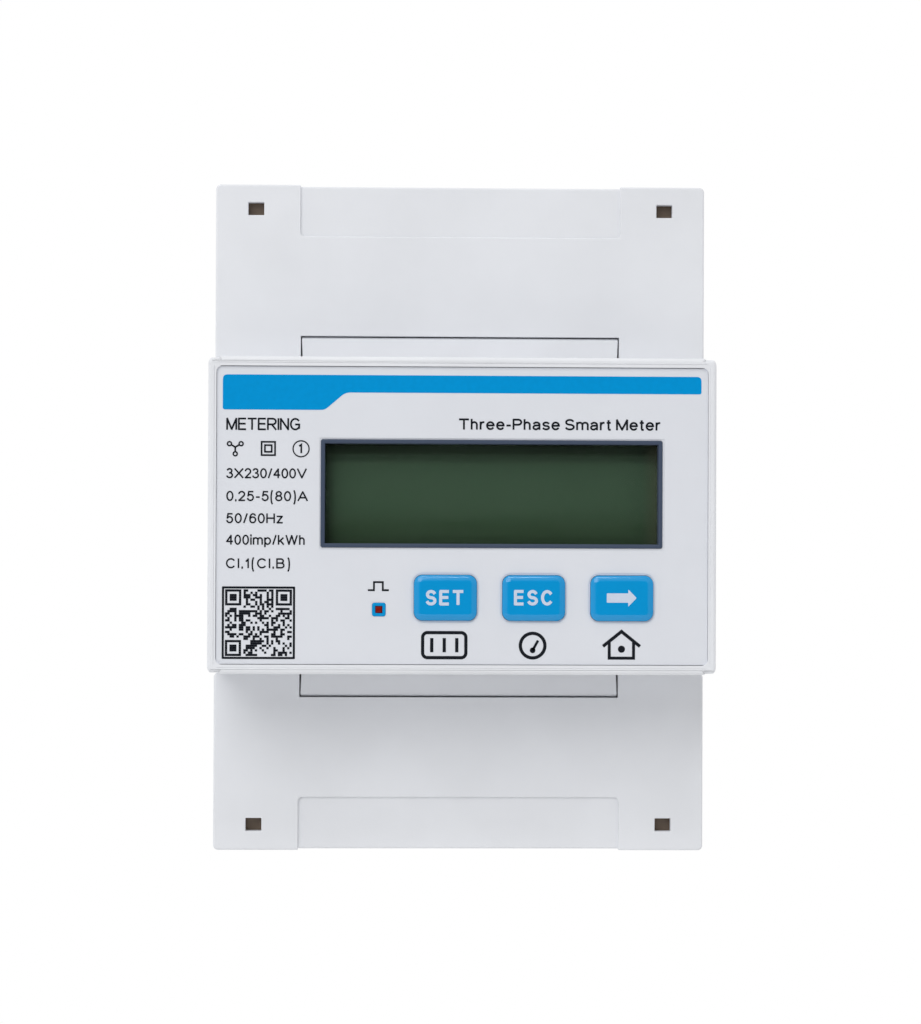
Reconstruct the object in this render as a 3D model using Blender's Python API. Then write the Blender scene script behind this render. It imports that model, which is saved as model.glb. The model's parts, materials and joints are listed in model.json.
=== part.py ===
"""A three-phase electric meter for a 35 mm mounting rail, four modules wide.

The world axes are the meter's own: +X to its right as seen from the front, the front faces -Y,
+Z up. The origin is the centre of the face that rests on the rail. Every size is in millimetres
and is turned into metres where a mesh is made. From back to front the meter is a rear case with
the rail channel, two terminal blocks, a middle housing, a front cover with its printed panel,
and two terminal covers that lift off forwards.
"""

import math

import bmesh
import bpy
from mathutils import Vector

MM = 0.001

# ---------------------------------------------------------------- overall sizes
WIDTH = 72.0  # four modules of 18 mm
HEIGHT = 98.0  # over both terminal covers
PANEL_HEIGHT = 44.9  # the raised front, made for a 45 mm cut-out
PANEL_DEPTH = 60.5  # rail seat to the front frame
SHOULDER_DEPTH = 44.5  # rail seat to the faces of the terminal covers
PARTING_DEPTH = 26.0  # rail seat to the joint of rear case and middle housing
TRAY_DEPTH = 8.0  # rail seat to the rear case's rim under the terminal blocks
BLOCK_DEPTH = 33.0  # rail seat to the faces of the terminal blocks
FOOT_DEPTH = 5.5  # how far the feet reach behind the rail seat

WALL = 1.8  # case and housing walls
COVER_WALL = 1.6  # terminal covers
FRONT_WALL = 1.5  # front cover
GAP = 0.3  # between pieces that touch
CORNER = 1.0  # outer corners of the front frame
END_CORNER = 0.6  # outer corners of the case, blocks and terminal covers

# ---------------------------------------------------------------- rail and clip
RAIL_CHANNEL = 35.5  # height of the channel for the 35 mm rail
SEAT_HALF = 15.8  # half height of the seat; beside it the channel's floor is relieved under hook and clip
SEAT_RELIEF = 0.4
HOOK_REACH = 1.75  # the fixed hook's lip behind the rail's upper edge
HOOK_GAP = 1.4  # rail seat to the hook's lip, for a 1 mm rail
HOOK_THICK = 2.8
HOOK_INSET = 6.0  # the lip's ends inside the case's sides
CLIP_WIDTH = 18.0
CLIP_RIB = 13.2  # width of the clip's rear rib, seen in the case's slot
CLIP_PLATE = (1.5, 3.6)  # the clip plate's front and rear faces behind the rail seat
CLIP_REAR = 5.3  # the rib's rear face
CLIP_NOSE = 1.55  # the nose's reach behind the rail's lower edge
CLIP_NOSE_FLAT = 1.0  # the nose's thickness at its end
CLIP_RIB_DOWN = 2.0  # the rib's upper end below the channel
CLIP_PULL = (6.0, 3.0)  # slot for a screwdriver that pulls the clip down
CLIP_PULL_UP = 3.5  # the slot's middle above the clip's lower end
CLIP_TRAVEL = 4.0
SPRING_RADIUS = 1.25  # middle of the wire
SPRING_WIRE = 0.3  # wire radius
SPRING_TURNS = 7
SPRING_SHORT = 8.6  # length with the clip pulled down
SPRING_UP = 23.1  # the spring's upper end above the clip's lower end
SPRING_WINDOW = 5.4  # width of the clip's window for the spring
SPRING_PEG = 2.5  # length of the case's peg that the spring stands on

# ---------------------------------------------------------------- power terminals
POLES = 4  # line 1, line 2, line 3 and neutral
PARTITION = 3.4  # between two bays of a terminal block
CAGE_PLAY = 0.5  # from a cage to each side of its bay
CAGE_WALL = 1.5
CAGE_FRONT = 2.2  # threaded wall
CAGE_BACK = 1.8
CAGE_LENGTH = 12.0
CAGE_ROOM = 9.4  # inside the cage, front to back
CAGE_TRAVEL = 5.0
BAR_THICK = 2.0
BAR_PLAY = 0.8  # from a bar to each side wall of its cage
BAR_OVERRUN = 1.0  # how far a bar stops short of its cage's outer end
CORE_RING = (12.0, 9.0)  # current transformer, front to back and along its bar
PORT_PLAY = 0.9  # from a cable port to each side wall of its cage
SCREW_RADIUS = 2.5
SCREW_PLAY = 0.08  # running clearance of a screw in its cage
HEAD_RADIUS = 3.3
HEAD_THICK = 2.6
HEAD_EDGE = 0.4  # chamfers
TIP_EDGE = 0.6
SLOT_WIDTH = 0.9
SLOT_DEPTH = 1.3
ACCESS_RADIUS = 3.7  # hole for the screwdriver
BLOCK_FRONT = 1.8
BLOCK_END = 2.1

# ---------------------------------------------------------------- signal terminals
SIGNAL_POLES = 4
SIGNAL_PITCH = 5.0
SIGNAL_LENGTH = 5.0
SIGNAL_SINK = 2.2  # signal block's face below the cover's face
SIGNAL_HEAD = 1.6
SIGNAL_SHANK = 1.1
SIGNAL_HEAD_THICK = 1.2
SIGNAL_HEAD_SINK = 0.8  # head's face below the block's face
SIGNAL_SCREW = 6.0  # length with its head
SIGNAL_SLOT = (0.6, 0.7)  # width and depth
SIGNAL_PORT = 0.9  # radius of a wire hole

# ---------------------------------------------------------------- ledge and covers
LEDGE_WIDTH = 46.3
LEDGE_REACH = 3.8  # past the raised front
LEDGE_CHAMFER = 0.6
COVER_START = 0.45  # past the raised front
RECESS_WIDTH = 47.2
RECESS_FROM_END = 7.8
RECESS_DEPTH = 0.4
SEAL_HOLE = (2.35, 1.9)
SEAL_FROM_SIDE = 5.9
SEAL_FROM_END = 3.75

# ---------------------------------------------------------------- front panel
FRAME_BORDER = 1.2  # frame left round the panel
PANEL_SINK = 0.35  # panel's face below the frame
PANEL_THICK = 0.8
PLATE_THICK = 1.8  # the front cover's plate behind the panel
CORNER_DROP = 0.2  # the frame's ends stand this much lower than its middle
CORNER_LENGTH = 1.6
TONGUE_LENGTH = 3.5  # middle housing's tongue inside the front cover
TONGUE_WALL = 1.2

WINDOW = (48.3, 15.2)  # display frame, outside
WINDOW_FROM_SIDE = 7.65
WINDOW_UP = 3.05
WINDOW_BORDER = 0.6
WINDOW_PROUD = 0.15  # display frame's face above the panel
PANE_THICK = 0.8
GLASS = (50.0, 17.0)
GLASS_THICK = 2.5
GUIDE_THICK = 2.1  # light guide behind the glass

KEY = (8.9, 6.45)
KEY_CORNER = 1.25
KEY_PROUD = 0.75  # key's face above the panel
KEY_PLAY = 0.3
KEY_PITCH = 12.5
KEY_FROM_SIDE = 13.4
KEY_DOWN = 11.6
KEY_RIM = 0.7  # flange behind the plate
KEY_RIM_THICK = 0.6
SWITCH_SIDE = 6.0
SWITCH_THICK = 3.3
PLUNGER_RADIUS = 1.7
PLUNGER_PLAY = 0.3
PLUNGER_SUNK = 0.7  # plunger's end inside the switch
PLUNGER_ROOM = 1.4  # depth of the switch's hole

LAMP_SIDE = 1.93
LAMP_FROM_KEY = 9.4  # lamp's centre left of the first key's centre
LAMP_DOWN = 13.3
LAMP_DIODE = (1.6, 1.2)  # side and thickness

BOARD_THICK = 1.6
BOARD_PLAY = 0.45  # from a board to the walls around it
MAIN_BOARD_AHEAD = 4.0  # main board in front of the parting
HEADER = (3.0, 16.0)
HEADER_FROM_EDGE = 4.5  # these distances run from a board's edge to the middle of the part
TALL_PART_ROOM = 3.4  # left in front of the transformer
CORE = (18.0, 16.0)
CORE_FROM_EDGE = (11.0, 9.0)
CAN_RADIUS = 4.5
CAN_FROM_EDGE = (26.0, 8.0)
DISC = (4.4, 3.6)  # varistor's radius and thickness
DISC_FROM_EDGE = (9.0, 5.4)
CHIP = (10.0, 1.6)
CHIP_FROM_EDGE = (39.6, 10.0)

# ---------------------------------------------------------------- worked out from the above
HALF_W = WIDTH / 2
HALF_H = HEIGHT / 2
HALF_P = PANEL_HEIGHT / 2
PITCH = WIDTH / POLES
POLE_X = [PITCH * (i - (POLES - 1) / 2) for i in range(POLES)]

CASE_HALF_P = HALF_P - CORNER_DROP  # case and housing stay behind the frame's outline
BLOCK_START = CASE_HALF_P + GAP
BAY_START = BLOCK_START + WALL
BAY_END = HALF_H - BLOCK_END
BAY_HALF = (PITCH - PARTITION) / 2
BAY_MIDDLE = (BAY_START + BAY_END) / 2

CAGE_HALF = BAY_HALF - CAGE_PLAY
CAGE_INNER = CAGE_HALF - CAGE_WALL
BAR_HALF = CAGE_INNER - BAR_PLAY
PORT_HALF = CAGE_INNER - PORT_PLAY
CAGE_Y_BACK = -TRAY_DEPTH - 2 * GAP  # rear face of an open cage
CAGE_Y_ROOM = CAGE_Y_BACK - CAGE_BACK
CAGE_Y_FRONT = CAGE_Y_ROOM - CAGE_ROOM
BAR_Y = (CAGE_Y_FRONT + 2 * GAP, CAGE_Y_FRONT + 2 * GAP + BAR_THICK)  # front and rear faces
HEAD_Y = CAGE_Y_FRONT - CAGE_FRONT - CAGE_TRAVEL - GAP  # underside of a screw's head
SCREW_TIP = BAR_Y[0] - GAP

LEDGE_END = HALF_P + LEDGE_REACH
COVER_Y = (-SHOULDER_DEPTH, -BLOCK_DEPTH - GAP)
PANEL_Y = -PANEL_DEPTH + PANEL_SINK
PLATE_Y = (PANEL_Y + PANEL_THICK + GAP, PANEL_Y + PANEL_THICK + GAP + PLATE_THICK)
PANEL_HALF = (HALF_W - FRAME_BORDER, HALF_P - FRAME_BORDER)
COVER_BACK = -SHOULDER_DEPTH - GAP  # rear rim of the front cover

WINDOW_X = HALF_W - WINDOW_FROM_SIDE - WINDOW[0] / 2
GLASS_Y = PLATE_Y[1] + GAP
PANE_Y = GLASS_Y - GAP - PANE_THICK
GUIDE_Y = GLASS_Y + GLASS_THICK + GAP
DISPLAY_BOARD_Y = GUIDE_Y + GUIDE_THICK + GAP
SWITCH_Y = DISPLAY_BOARD_Y - GAP - SWITCH_THICK  # front face of the switches
KEY_X = [HALF_W - KEY_FROM_SIDE - KEY_PITCH * (2 - i) for i in range(3)]
KEY_Y = PANEL_Y - KEY_PROUD
RIM_Y = PLATE_Y[1] + GAP
LAMP_X = KEY_X[0] - LAMP_FROM_KEY

MAIN_BOARD_Y = -PARTING_DEPTH - MAIN_BOARD_AHEAD - BOARD_THICK  # front face
PARTS_Y = MAIN_BOARD_Y - GAP  # rear face of what stands on the main board
HEADER_Y = DISPLAY_BOARD_Y + BOARD_THICK + GAP  # front face of the header between the boards
BOARD_HALF = (
    HALF_W - WALL - TONGUE_WALL - BOARD_PLAY,
    CASE_HALF_P - WALL - TONGUE_WALL - BOARD_PLAY,
)
FACE_X = (-HALF_W, HALF_W)
CLIP_TOP = -RAIL_CHANNEL / 2 + CLIP_NOSE
CLIP_BOTTOM = -HALF_H + 2 * GAP
SPRING_TOP = CLIP_BOTTOM + SPRING_UP
SPRING_FOOT = SPRING_TOP - SPRING_SHORT - CLIP_TRAVEL


# ---------------------------------------------------------------- materials
def finish(name, colour, roughness, metallic=0.0, alpha=1.0):
    """A Principled material of one colour."""
    material = bpy.data.materials.new(name)
    material.use_nodes = True
    shader = material.node_tree.nodes["Principled BSDF"]
    shader.inputs["Base Color"].default_value = (*colour, 1.0)
    shader.inputs["Roughness"].default_value = roughness
    shader.inputs["Metallic"].default_value = metallic
    shader.inputs["Alpha"].default_value = alpha
    material.diffuse_color = (*colour, alpha)
    return material


# ---------------------------------------------------------------- blocks: closed shapes as (points, faces)
def prism(outline, axis, span):
    """An outline, given in the other two axes' order, carried along an axis from span[0] to span[1]."""
    place = {
        "X": lambda a, b, t: (t, a, b),
        "Y": lambda a, b, t: (a, t, b),
        "Z": lambda a, b, t: (a, b, t),
    }[axis]
    count = len(outline)
    points = [place(a, b, t) for t in span for a, b in outline]
    faces = [tuple(range(count)), tuple(range(count, 2 * count))]
    for i in range(count):
        j = (i + 1) % count
        faces.append((i, j, j + count, i + count))
    return points, faces


def slab(x, y, z):
    """A box between two values on each axis."""
    return prism([(x[0], y[0]), (x[1], y[0]), (x[1], y[1]), (x[0], y[1])], "Z", z)


def about(middle, half):
    return (middle - half, middle + half)


def rounded(low, high, radius, steps=3):
    """A rectangle's outline with quarter-circle corners, between two corner points."""
    centres = [
        (high[0] - radius, high[1] - radius, 0),
        (low[0] + radius, high[1] - radius, 1),
        (low[0] + radius, low[1] + radius, 2),
        (high[0] - radius, low[1] + radius, 3),
    ]
    outline = []
    for x, z, quarter in centres:
        for i in range(steps + 1):
            turn = math.pi / 2 * (quarter + i / steps)
            outline.append((x + radius * math.cos(turn), z + radius * math.sin(turn)))
    return outline


def circle(x, z, radius, sides):
    """A regular outline with its corners on the circle."""
    turns = [2 * math.pi * (i + 0.5) / sides for i in range(sides)]
    return [(x + radius * math.cos(t), z + radius * math.sin(t)) for t in turns]


def around(radius, sides):
    """The corner radius of a hole whose flats stay outside a circle of this radius."""
    return radius / math.cos(math.pi / sides)


def turned(profile, x, z, sides):
    """A profile of (radius, y) turned about the axis through (x, z) along Y, with closed ends."""
    points, faces = [], []
    for radius, y in profile:
        points += [(a, y, b) for a, b in circle(x, z, radius, sides)]
    for ring in range(len(profile) - 1):
        for i in range(sides):
            j = (i + 1) % sides
            low, high = ring * sides, (ring + 1) * sides
            faces.append((low + i, low + j, high + j, high + i))
    last = (len(profile) - 1) * sides
    faces += [tuple(range(sides)), tuple(range(last, last + sides))]
    return points, faces


def coil(x, y, z, radius, wire, turns, per_turn=10, sides=6):
    """A round wire wound about a line along Z between the two values of z."""
    points, faces, count = [], [], turns * per_turn + 1
    for n in range(count):
        turn = 2 * math.pi * n / per_turn
        out = Vector((math.cos(turn), math.sin(turn), 0))
        height = z[0] + wire + (z[1] - z[0] - 2 * wire) * n / (count - 1)
        centre = Vector((x, y, height)) + out * radius
        for k in range(sides):
            a = 2 * math.pi * k / sides
            points.append(tuple(centre + out * (wire * math.cos(a)) + Vector((0, 0, wire * math.sin(a)))))
    for n in range(count - 1):
        for k in range(sides):
            j = (k + 1) % sides
            faces.append((n * sides + k, n * sides + j, (n + 1) * sides + j, (n + 1) * sides + k))
    last = (count - 1) * sides
    faces += [tuple(range(sides)), tuple(range(last, last + sides))]
    return points, faces


# ---------------------------------------------------------------- objects
def object_of(name, blocks, origin=(0.0, 0.0, 0.0)):
    """One object holding these blocks, with its origin at a point given in millimetres."""
    mesh = bpy.data.meshes.new(name)
    shape = bmesh.new()
    middle = Vector(origin)
    for points, faces in blocks:
        corners = [shape.verts.new((Vector(p) - middle) * MM) for p in points]
        for face in faces:
            shape.faces.new([corners[i] for i in face])
    bmesh.ops.recalc_face_normals(shape, faces=shape.faces)
    shape.to_mesh(mesh)
    shape.free()
    obj = bpy.data.objects.new(name, mesh)
    obj.location = middle * MM
    bpy.context.scene.collection.objects.link(obj)
    return obj


def boolean(obj, operation, blocks, label):
    """Adds or cuts away blocks that stand clear of each other, through one hidden helper."""
    helper = object_of(f"{obj.name}_{label}", blocks)
    helper.hide_render = True
    helper.display_type = "WIRE"
    modifier = obj.modifiers.new(label, "BOOLEAN")
    modifier.operation = operation
    modifier.solver = "EXACT"
    modifier.object = helper


def piece(name, material, block, origin=(0.0, 0.0, 0.0), smooth=False):
    """A visible piece that starts as one closed block."""
    obj = object_of(name, [block], origin)
    obj.data.materials.append(material)
    if smooth:
        obj.data.shade_smooth()
        obj.data.set_sharp_from_angle(angle=math.radians(35))
    return obj


def add(obj, label, *blocks):
    boolean(obj, "UNION", blocks, f"add_{label}")


def cut(obj, label, *blocks):
    boolean(obj, "DIFFERENCE", blocks, f"cut_{label}")


def both_ends(x, y, z):
    """A box and its mirror image below the middle."""
    return slab(x, y, z), slab(x, y, (-z[1], -z[0]))


# ---------------------------------------------------------------- rear case and rail clip
def rear_case(material):
    """The tray: feet behind the rail seat, a channel for the rail, and walls round the meter's works."""
    feet = rounded((-HALF_W, -HALF_H), (HALF_W, HALF_H), END_CORNER, 2)
    case = piece("rear_case", material, prism(feet, "Y", (-TRAY_DEPTH, FOOT_DEPTH)))
    middle = (-PARTING_DEPTH, -TRAY_DEPTH + GAP)
    add(case, "middle", slab(FACE_X, middle, about(0, CASE_HALF_P)))
    channel = RAIL_CHANNEL / 2
    through = about(0, HALF_W + 1)
    cut(case, "channel", slab(through, (0, FOOT_DEPTH + 1), about(0, channel)))
    cut(case, "reliefs", *both_ends(through, (-SEAT_RELIEF, FOOT_DEPTH), (SEAT_HALF, channel)))
    inner = about(0, HALF_W - WALL)
    cut(case, "inside", slab(inner, (-PARTING_DEPTH - 1, -WALL), about(0, CASE_HALF_P - WALL)))
    cut(case, "ends", *both_ends(inner, (-TRAY_DEPTH - 1, -2 * GAP), (BAY_START, HALF_H - WALL)))
    notch_z = about(0, CASE_HALF_P + 1)
    notch_y = (-PARTING_DEPTH - 1, BAR_Y[1] + GAP)
    cut(case, "bar_notches", *[slab(about(x, BAR_HALF + GAP), notch_y, notch_z) for x in POLE_X])
    hook_z = (channel - HOOK_REACH, channel + 1)
    add(case, "hook", slab(about(0, HALF_W - HOOK_INSET), (HOOK_GAP, HOOK_GAP + HOOK_THICK), hook_z))
    groove = (-HALF_H - 1, -channel + 1)
    wide = (CLIP_PLATE[0] - GAP, CLIP_PLATE[1] + GAP)
    cut(case, "groove", slab(about(0, CLIP_WIDTH / 2 + GAP), wide, groove))
    cut(case, "slot", slab(about(0, CLIP_RIB / 2 + GAP), (CLIP_PLATE[1], FOOT_DEPTH + 1), groove))
    peg = (SPRING_FOOT - GAP - SPRING_PEG, SPRING_FOOT - GAP)
    peg_half = SPRING_WINDOW / 2 - 2 * GAP
    add(case, "peg", slab(about(0, peg_half), (CLIP_PLATE[0] - 2 * GAP, CLIP_REAR - GAP), peg))
    return case


def rail_clip(material):
    """A flat slider in a groove of the lower foot; its nose holds the rail's lower edge."""
    clip = piece(
        "rail_clip",
        material,
        slab(about(0, CLIP_WIDTH / 2), CLIP_PLATE, (CLIP_BOTTOM, CLIP_TOP)),
        origin=(0, CLIP_PLATE[0], CLIP_TOP),
    )
    rib_z = (CLIP_BOTTOM, -RAIL_CHANNEL / 2 - CLIP_RIB_DOWN)
    add(clip, "rib", slab(about(0, CLIP_RIB / 2), (CLIP_PLATE[1] - GAP, CLIP_REAR), rib_z))
    depth = (CLIP_PLATE[0] - 1, CLIP_REAR + 1)
    window = (SPRING_FOOT - 2 * GAP - SPRING_PEG, SPRING_TOP + GAP)
    pull = about(CLIP_BOTTOM + CLIP_PULL_UP, CLIP_PULL[1] / 2)
    windows = slab(about(0, SPRING_WINDOW / 2), depth, window), slab(about(0, CLIP_PULL[0] / 2), depth, pull)
    cut(clip, "windows", *windows)
    start, rear, over = CLIP_PLATE[0] + CLIP_NOSE_FLAT, CLIP_PLATE[1], 0.1  # the wedge slopes at 45 degrees
    low = CLIP_TOP - (rear - start)
    wedge = [(start - over, CLIP_TOP + over), (rear + over, CLIP_TOP + over), (rear + over, low - over)]
    cut(clip, "nose", prism(wedge, "X", about(0, CLIP_WIDTH)))
    return clip


def clip_spring(material):
    middle_y = (CLIP_PLATE[0] + CLIP_REAR) / 2
    wound = coil(0, middle_y, (SPRING_FOOT, SPRING_TOP), SPRING_RADIUS, SPRING_WIRE, SPRING_TURNS)
    return piece("rail_clip_spring", material, wound, origin=(0, middle_y, SPRING_FOOT), smooth=True)


# ---------------------------------------------------------------- terminals
def terminal_block(side, sign, material):
    """Four bays open to the back, each with a cable port in its end and a screwdriver hole in front."""

    def span(low, high):
        return (low, high) if sign > 0 else (-high, -low)

    ends = span(BLOCK_START, HALF_H)
    outline = rounded((-HALF_W, ends[0]), (HALF_W, ends[1]), END_CORNER, 2)
    block = piece(f"{side}_terminal_block", material, prism(outline, "Y", (-BLOCK_DEPTH, -TRAY_DEPTH - GAP)))
    bay_y = (-BLOCK_DEPTH + BLOCK_FRONT, 0)
    cut(block, "bays", *[slab(about(x, BAY_HALF), bay_y, span(BAY_START, BAY_END)) for x in POLE_X])
    port_y = (BAR_Y[1] + GAP / 3, CAGE_Y_ROOM - GAP / 3)
    port_z = span(BAY_END - 1, HALF_H + 1)
    cut(block, "ports", *[slab(about(x, PORT_HALF), port_y, port_z) for x in POLE_X])
    bar_y = (BAR_Y[0] - GAP, 0)
    bar_z = span(BLOCK_START - 1, BAY_START + 1)
    cut(block, "bar_ways", *[slab(about(x, BAR_HALF + GAP), bar_y, bar_z) for x in POLE_X])
    hole_y = (-BLOCK_DEPTH - 1, -BLOCK_DEPTH + BLOCK_FRONT + 1)
    holes = [prism(circle(x, sign * BAY_MIDDLE, ACCESS_RADIUS, 16), "Y", hole_y) for x in POLE_X]
    cut(block, "screw_holes", *holes)
    return block


def lift_cage(name, x, z, material):
    """A square tube open along Z: the wire and the bar go in, and the screw is threaded in its front wall."""
    span = about(z, CAGE_LENGTH / 2)
    front = CAGE_Y_FRONT - CAGE_FRONT
    cage = piece(name, material, slab(about(x, CAGE_HALF), (front, CAGE_Y_BACK), span), (x, front, z))
    through = about(z, CAGE_LENGTH / 2 + 1)
    cut(cage, "room", slab(about(x, CAGE_INNER), (CAGE_Y_FRONT, CAGE_Y_ROOM), through))
    radius = around(SCREW_RADIUS + SCREW_PLAY, 12)
    cut(cage, "thread", prism(circle(x, z, radius, 12), "Y", (front - 1, CAGE_Y_FRONT + 1)))
    return cage


def terminal_screw(name, x, z, material):
    """A slotted screw whose tip presses on the bar, and draws the cage up as it turns."""
    top = HEAD_Y - HEAD_THICK
    profile = [
        (HEAD_RADIUS - HEAD_EDGE, top),
        (HEAD_RADIUS, top + HEAD_EDGE),
        (HEAD_RADIUS, HEAD_Y),
        (SCREW_RADIUS, HEAD_Y + 0.01),
        (SCREW_RADIUS, SCREW_TIP - TIP_EDGE),
        (SCREW_RADIUS - TIP_EDGE, SCREW_TIP),
    ]
    screw = piece(name, material, turned(profile, x, z, 12), (x, HEAD_Y, z), smooth=True)
    slot = (top - 1, top + SLOT_DEPTH)
    cut(screw, "slot", slab(about(x, SLOT_WIDTH / 2), slot, about(z, HEAD_RADIUS + 1)))
    cut(screw, "cross", slab(about(x, HEAD_RADIUS - 1.1), slot, about(z, SLOT_WIDTH / 2)))
    return screw


def bar(name, x, material):
    """A flat copper bar from the upper cage to the lower one."""
    end = BAY_MIDDLE + CAGE_LENGTH / 2 - BAR_OVERRUN
    return piece(name, material, slab(about(x, BAR_HALF), BAR_Y, about(0, end)), (x, BAR_Y[0], 0))


def current_transformer(name, x, material):
    """A potted ring core; the phase bar is its single turn."""
    half_x = PITCH / 2 - WALL - 2 * GAP
    half_y, half_z = CORE_RING[0] / 2, CORE_RING[1] / 2
    middle = sum(BAR_Y) / 2
    outline = rounded((x - half_x, middle - half_y), (x + half_x, middle + half_y), CORNER)
    core = piece(name, material, prism(outline, "Z", about(0, half_z)), (x, middle, 0))
    way = about(middle, BAR_THICK / 2 + 2 * GAP)
    cut(core, "way", slab(about(x, BAR_HALF + 2 * GAP), way, about(0, half_z + 1)))
    return core


def signal_terminals(block_material, screw_material):
    """A small block of four clamps for the signal wires, in front of the upper terminal block."""
    start = LEDGE_END + 2 * GAP
    z = (start, start + SIGNAL_LENGTH)
    middle = sum(z) / 2
    face = -SHOULDER_DEPTH + SIGNAL_SINK
    half = SIGNAL_POLES * SIGNAL_PITCH / 2
    block = piece("signal_terminal_block", block_material, slab(about(0, half), (face, COVER_Y[1]), z))
    xs = [SIGNAL_PITCH * (i - (SIGNAL_POLES - 1) / 2) for i in range(SIGNAL_POLES)]
    top = face + SIGNAL_HEAD_SINK
    under, tip = top + SIGNAL_HEAD_THICK, top + SIGNAL_SCREW
    shank = around(SIGNAL_SHANK + SCREW_PLAY, 12)
    wide = [prism(circle(x, middle, SIGNAL_HEAD + GAP, 12), "Y", (face - 1, under + GAP)) for x in xs]
    narrow = [prism(circle(x, middle, shank, 12), "Y", (face, tip + GAP)) for x in xs]
    wires = [prism(circle(x, under + 2.4, SIGNAL_PORT, 8), "Z", (middle, z[1] + 1)) for x in xs]
    cut(block, "heads", *wide)
    cut(block, "shanks", *narrow)
    cut(block, "wires", *wires)
    profile = [(SIGNAL_HEAD, top), (SIGNAL_HEAD, under), (SIGNAL_SHANK, under + 0.01), (SIGNAL_SHANK, tip)]
    for number, x in enumerate(xs, 1):
        body = turned(profile, x, middle, 12)
        screw = piece(f"signal_screw_{number}", screw_material, body, (x, under, middle), smooth=True)
        slot = about(x, SIGNAL_SLOT[0] / 2), (top - 1, top + SIGNAL_SLOT[1]), about(middle, SIGNAL_HEAD + 1)
        cut(screw, "slot", slab(*slot))


# ---------------------------------------------------------------- housings and covers
def middle_housing(material):
    """A ring round the works, with a ledge at the top and bottom that fills each cover's notch."""
    outline = rounded((-HALF_W, -CASE_HALF_P), (HALF_W, CASE_HALF_P), END_CORNER, 2)
    back = -PARTING_DEPTH - GAP
    housing = piece("middle_housing", material, prism(outline, "Y", (-SHOULDER_DEPTH, back)))
    half_x, half_z = HALF_W - WALL, CASE_HALF_P - WALL
    tongue_y = (max(-SHOULDER_DEPTH - TONGUE_LENGTH, PLATE_Y[1] + GAP), -SHOULDER_DEPTH + 1)
    add(housing, "tongue", slab(about(0, half_x), tongue_y, about(0, half_z)))
    ledge_y = (-SHOULDER_DEPTH + GAP, -BLOCK_DEPTH - GAP)
    ledge_z = (CASE_HALF_P - 1, LEDGE_END)
    add(housing, "ledges", *both_ends(about(0, LEDGE_WIDTH / 2), ledge_y, ledge_z))
    low, high = LEDGE_END - LEDGE_CHAMFER, LEDGE_END + 1
    face = ledge_y[0]
    wedge = [(face - 1, low - 1), (face + LEDGE_CHAMFER + 1, high), (face - 1, high)]
    below = [(y, -z) for y, z in wedge]
    across = about(0, LEDGE_WIDTH)
    cut(housing, "ledge_edges", prism(wedge, "X", across), prism(below, "X", across))
    inner = about(0, half_x - TONGUE_WALL), about(0, half_z - TONGUE_WALL)
    cut(housing, "inside", slab(inner[0], (tongue_y[0] - 1, back + 1), inner[1]))
    return housing


def front_cover(material):
    """The raised front: side walls, a plate with the openings, and the frame that stands round the panel."""
    outline = rounded((-HALF_W, -HALF_P), (HALF_W, HALF_P), CORNER, 4)
    cover = piece("front_cover", material, prism(outline, "Y", (-PANEL_DEPTH, COVER_BACK)))
    high = (HALF_P - CORNER_DROP, HALF_P + 1)
    ends = []
    for x in ((-HALF_W - 1, -HALF_W + CORNER_LENGTH), (HALF_W - CORNER_LENGTH, HALF_W + 1)):
        ends += both_ends(x, (-PANEL_DEPTH - 1, COVER_BACK + 1), high)
    cut(cover, "corner_steps", *ends)
    inner = about(0, HALF_W - FRONT_WALL), about(0, HALF_P - FRONT_WALL)
    cut(cover, "inside", slab(inner[0], (PLATE_Y[1], COVER_BACK + 1), inner[1]))
    hold = (PANEL_HALF[0] + GAP, PANEL_HALF[1] + GAP)
    recess = rounded((-hold[0], -hold[1]), hold, CORNER / 2, 2)
    cut(cover, "panel_recess", prism(recess, "Y", (-PANEL_DEPTH - 1, PLATE_Y[0])))
    cut(cover, "openings", *panel_openings((PLATE_Y[0] - 1, PLATE_Y[1] + 1)))
    return cover


def panel_openings(y):
    """The display, key and lamp openings that the panel and the plate behind it share."""
    wide, tall = WINDOW[0] / 2 + GAP, WINDOW[1] / 2 + GAP
    blocks = [slab(about(WINDOW_X, wide), y, about(WINDOW_UP, tall))]
    half = (KEY[0] / 2 + KEY_PLAY, KEY[1] / 2 + KEY_PLAY)
    for x in KEY_X:
        low, high = (x - half[0], -KEY_DOWN - half[1]), (x + half[0], -KEY_DOWN + half[1])
        blocks.append(prism(rounded(low, high, KEY_CORNER + KEY_PLAY), "Y", y))
    lamp = LAMP_SIDE / 2 + GAP / 2
    blocks.append(slab(about(LAMP_X, lamp), y, about(-LAMP_DOWN, lamp)))
    return blocks


def panel_overlay(material):
    outline = rounded((-PANEL_HALF[0], -PANEL_HALF[1]), PANEL_HALF, CORNER / 2, 2)
    panel = piece("panel_overlay", material, prism(outline, "Y", (PANEL_Y, PANEL_Y + PANEL_THICK)))
    cut(panel, "openings", *panel_openings((PANEL_Y - 1, PANEL_Y + PANEL_THICK + 1)))
    return panel


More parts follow.
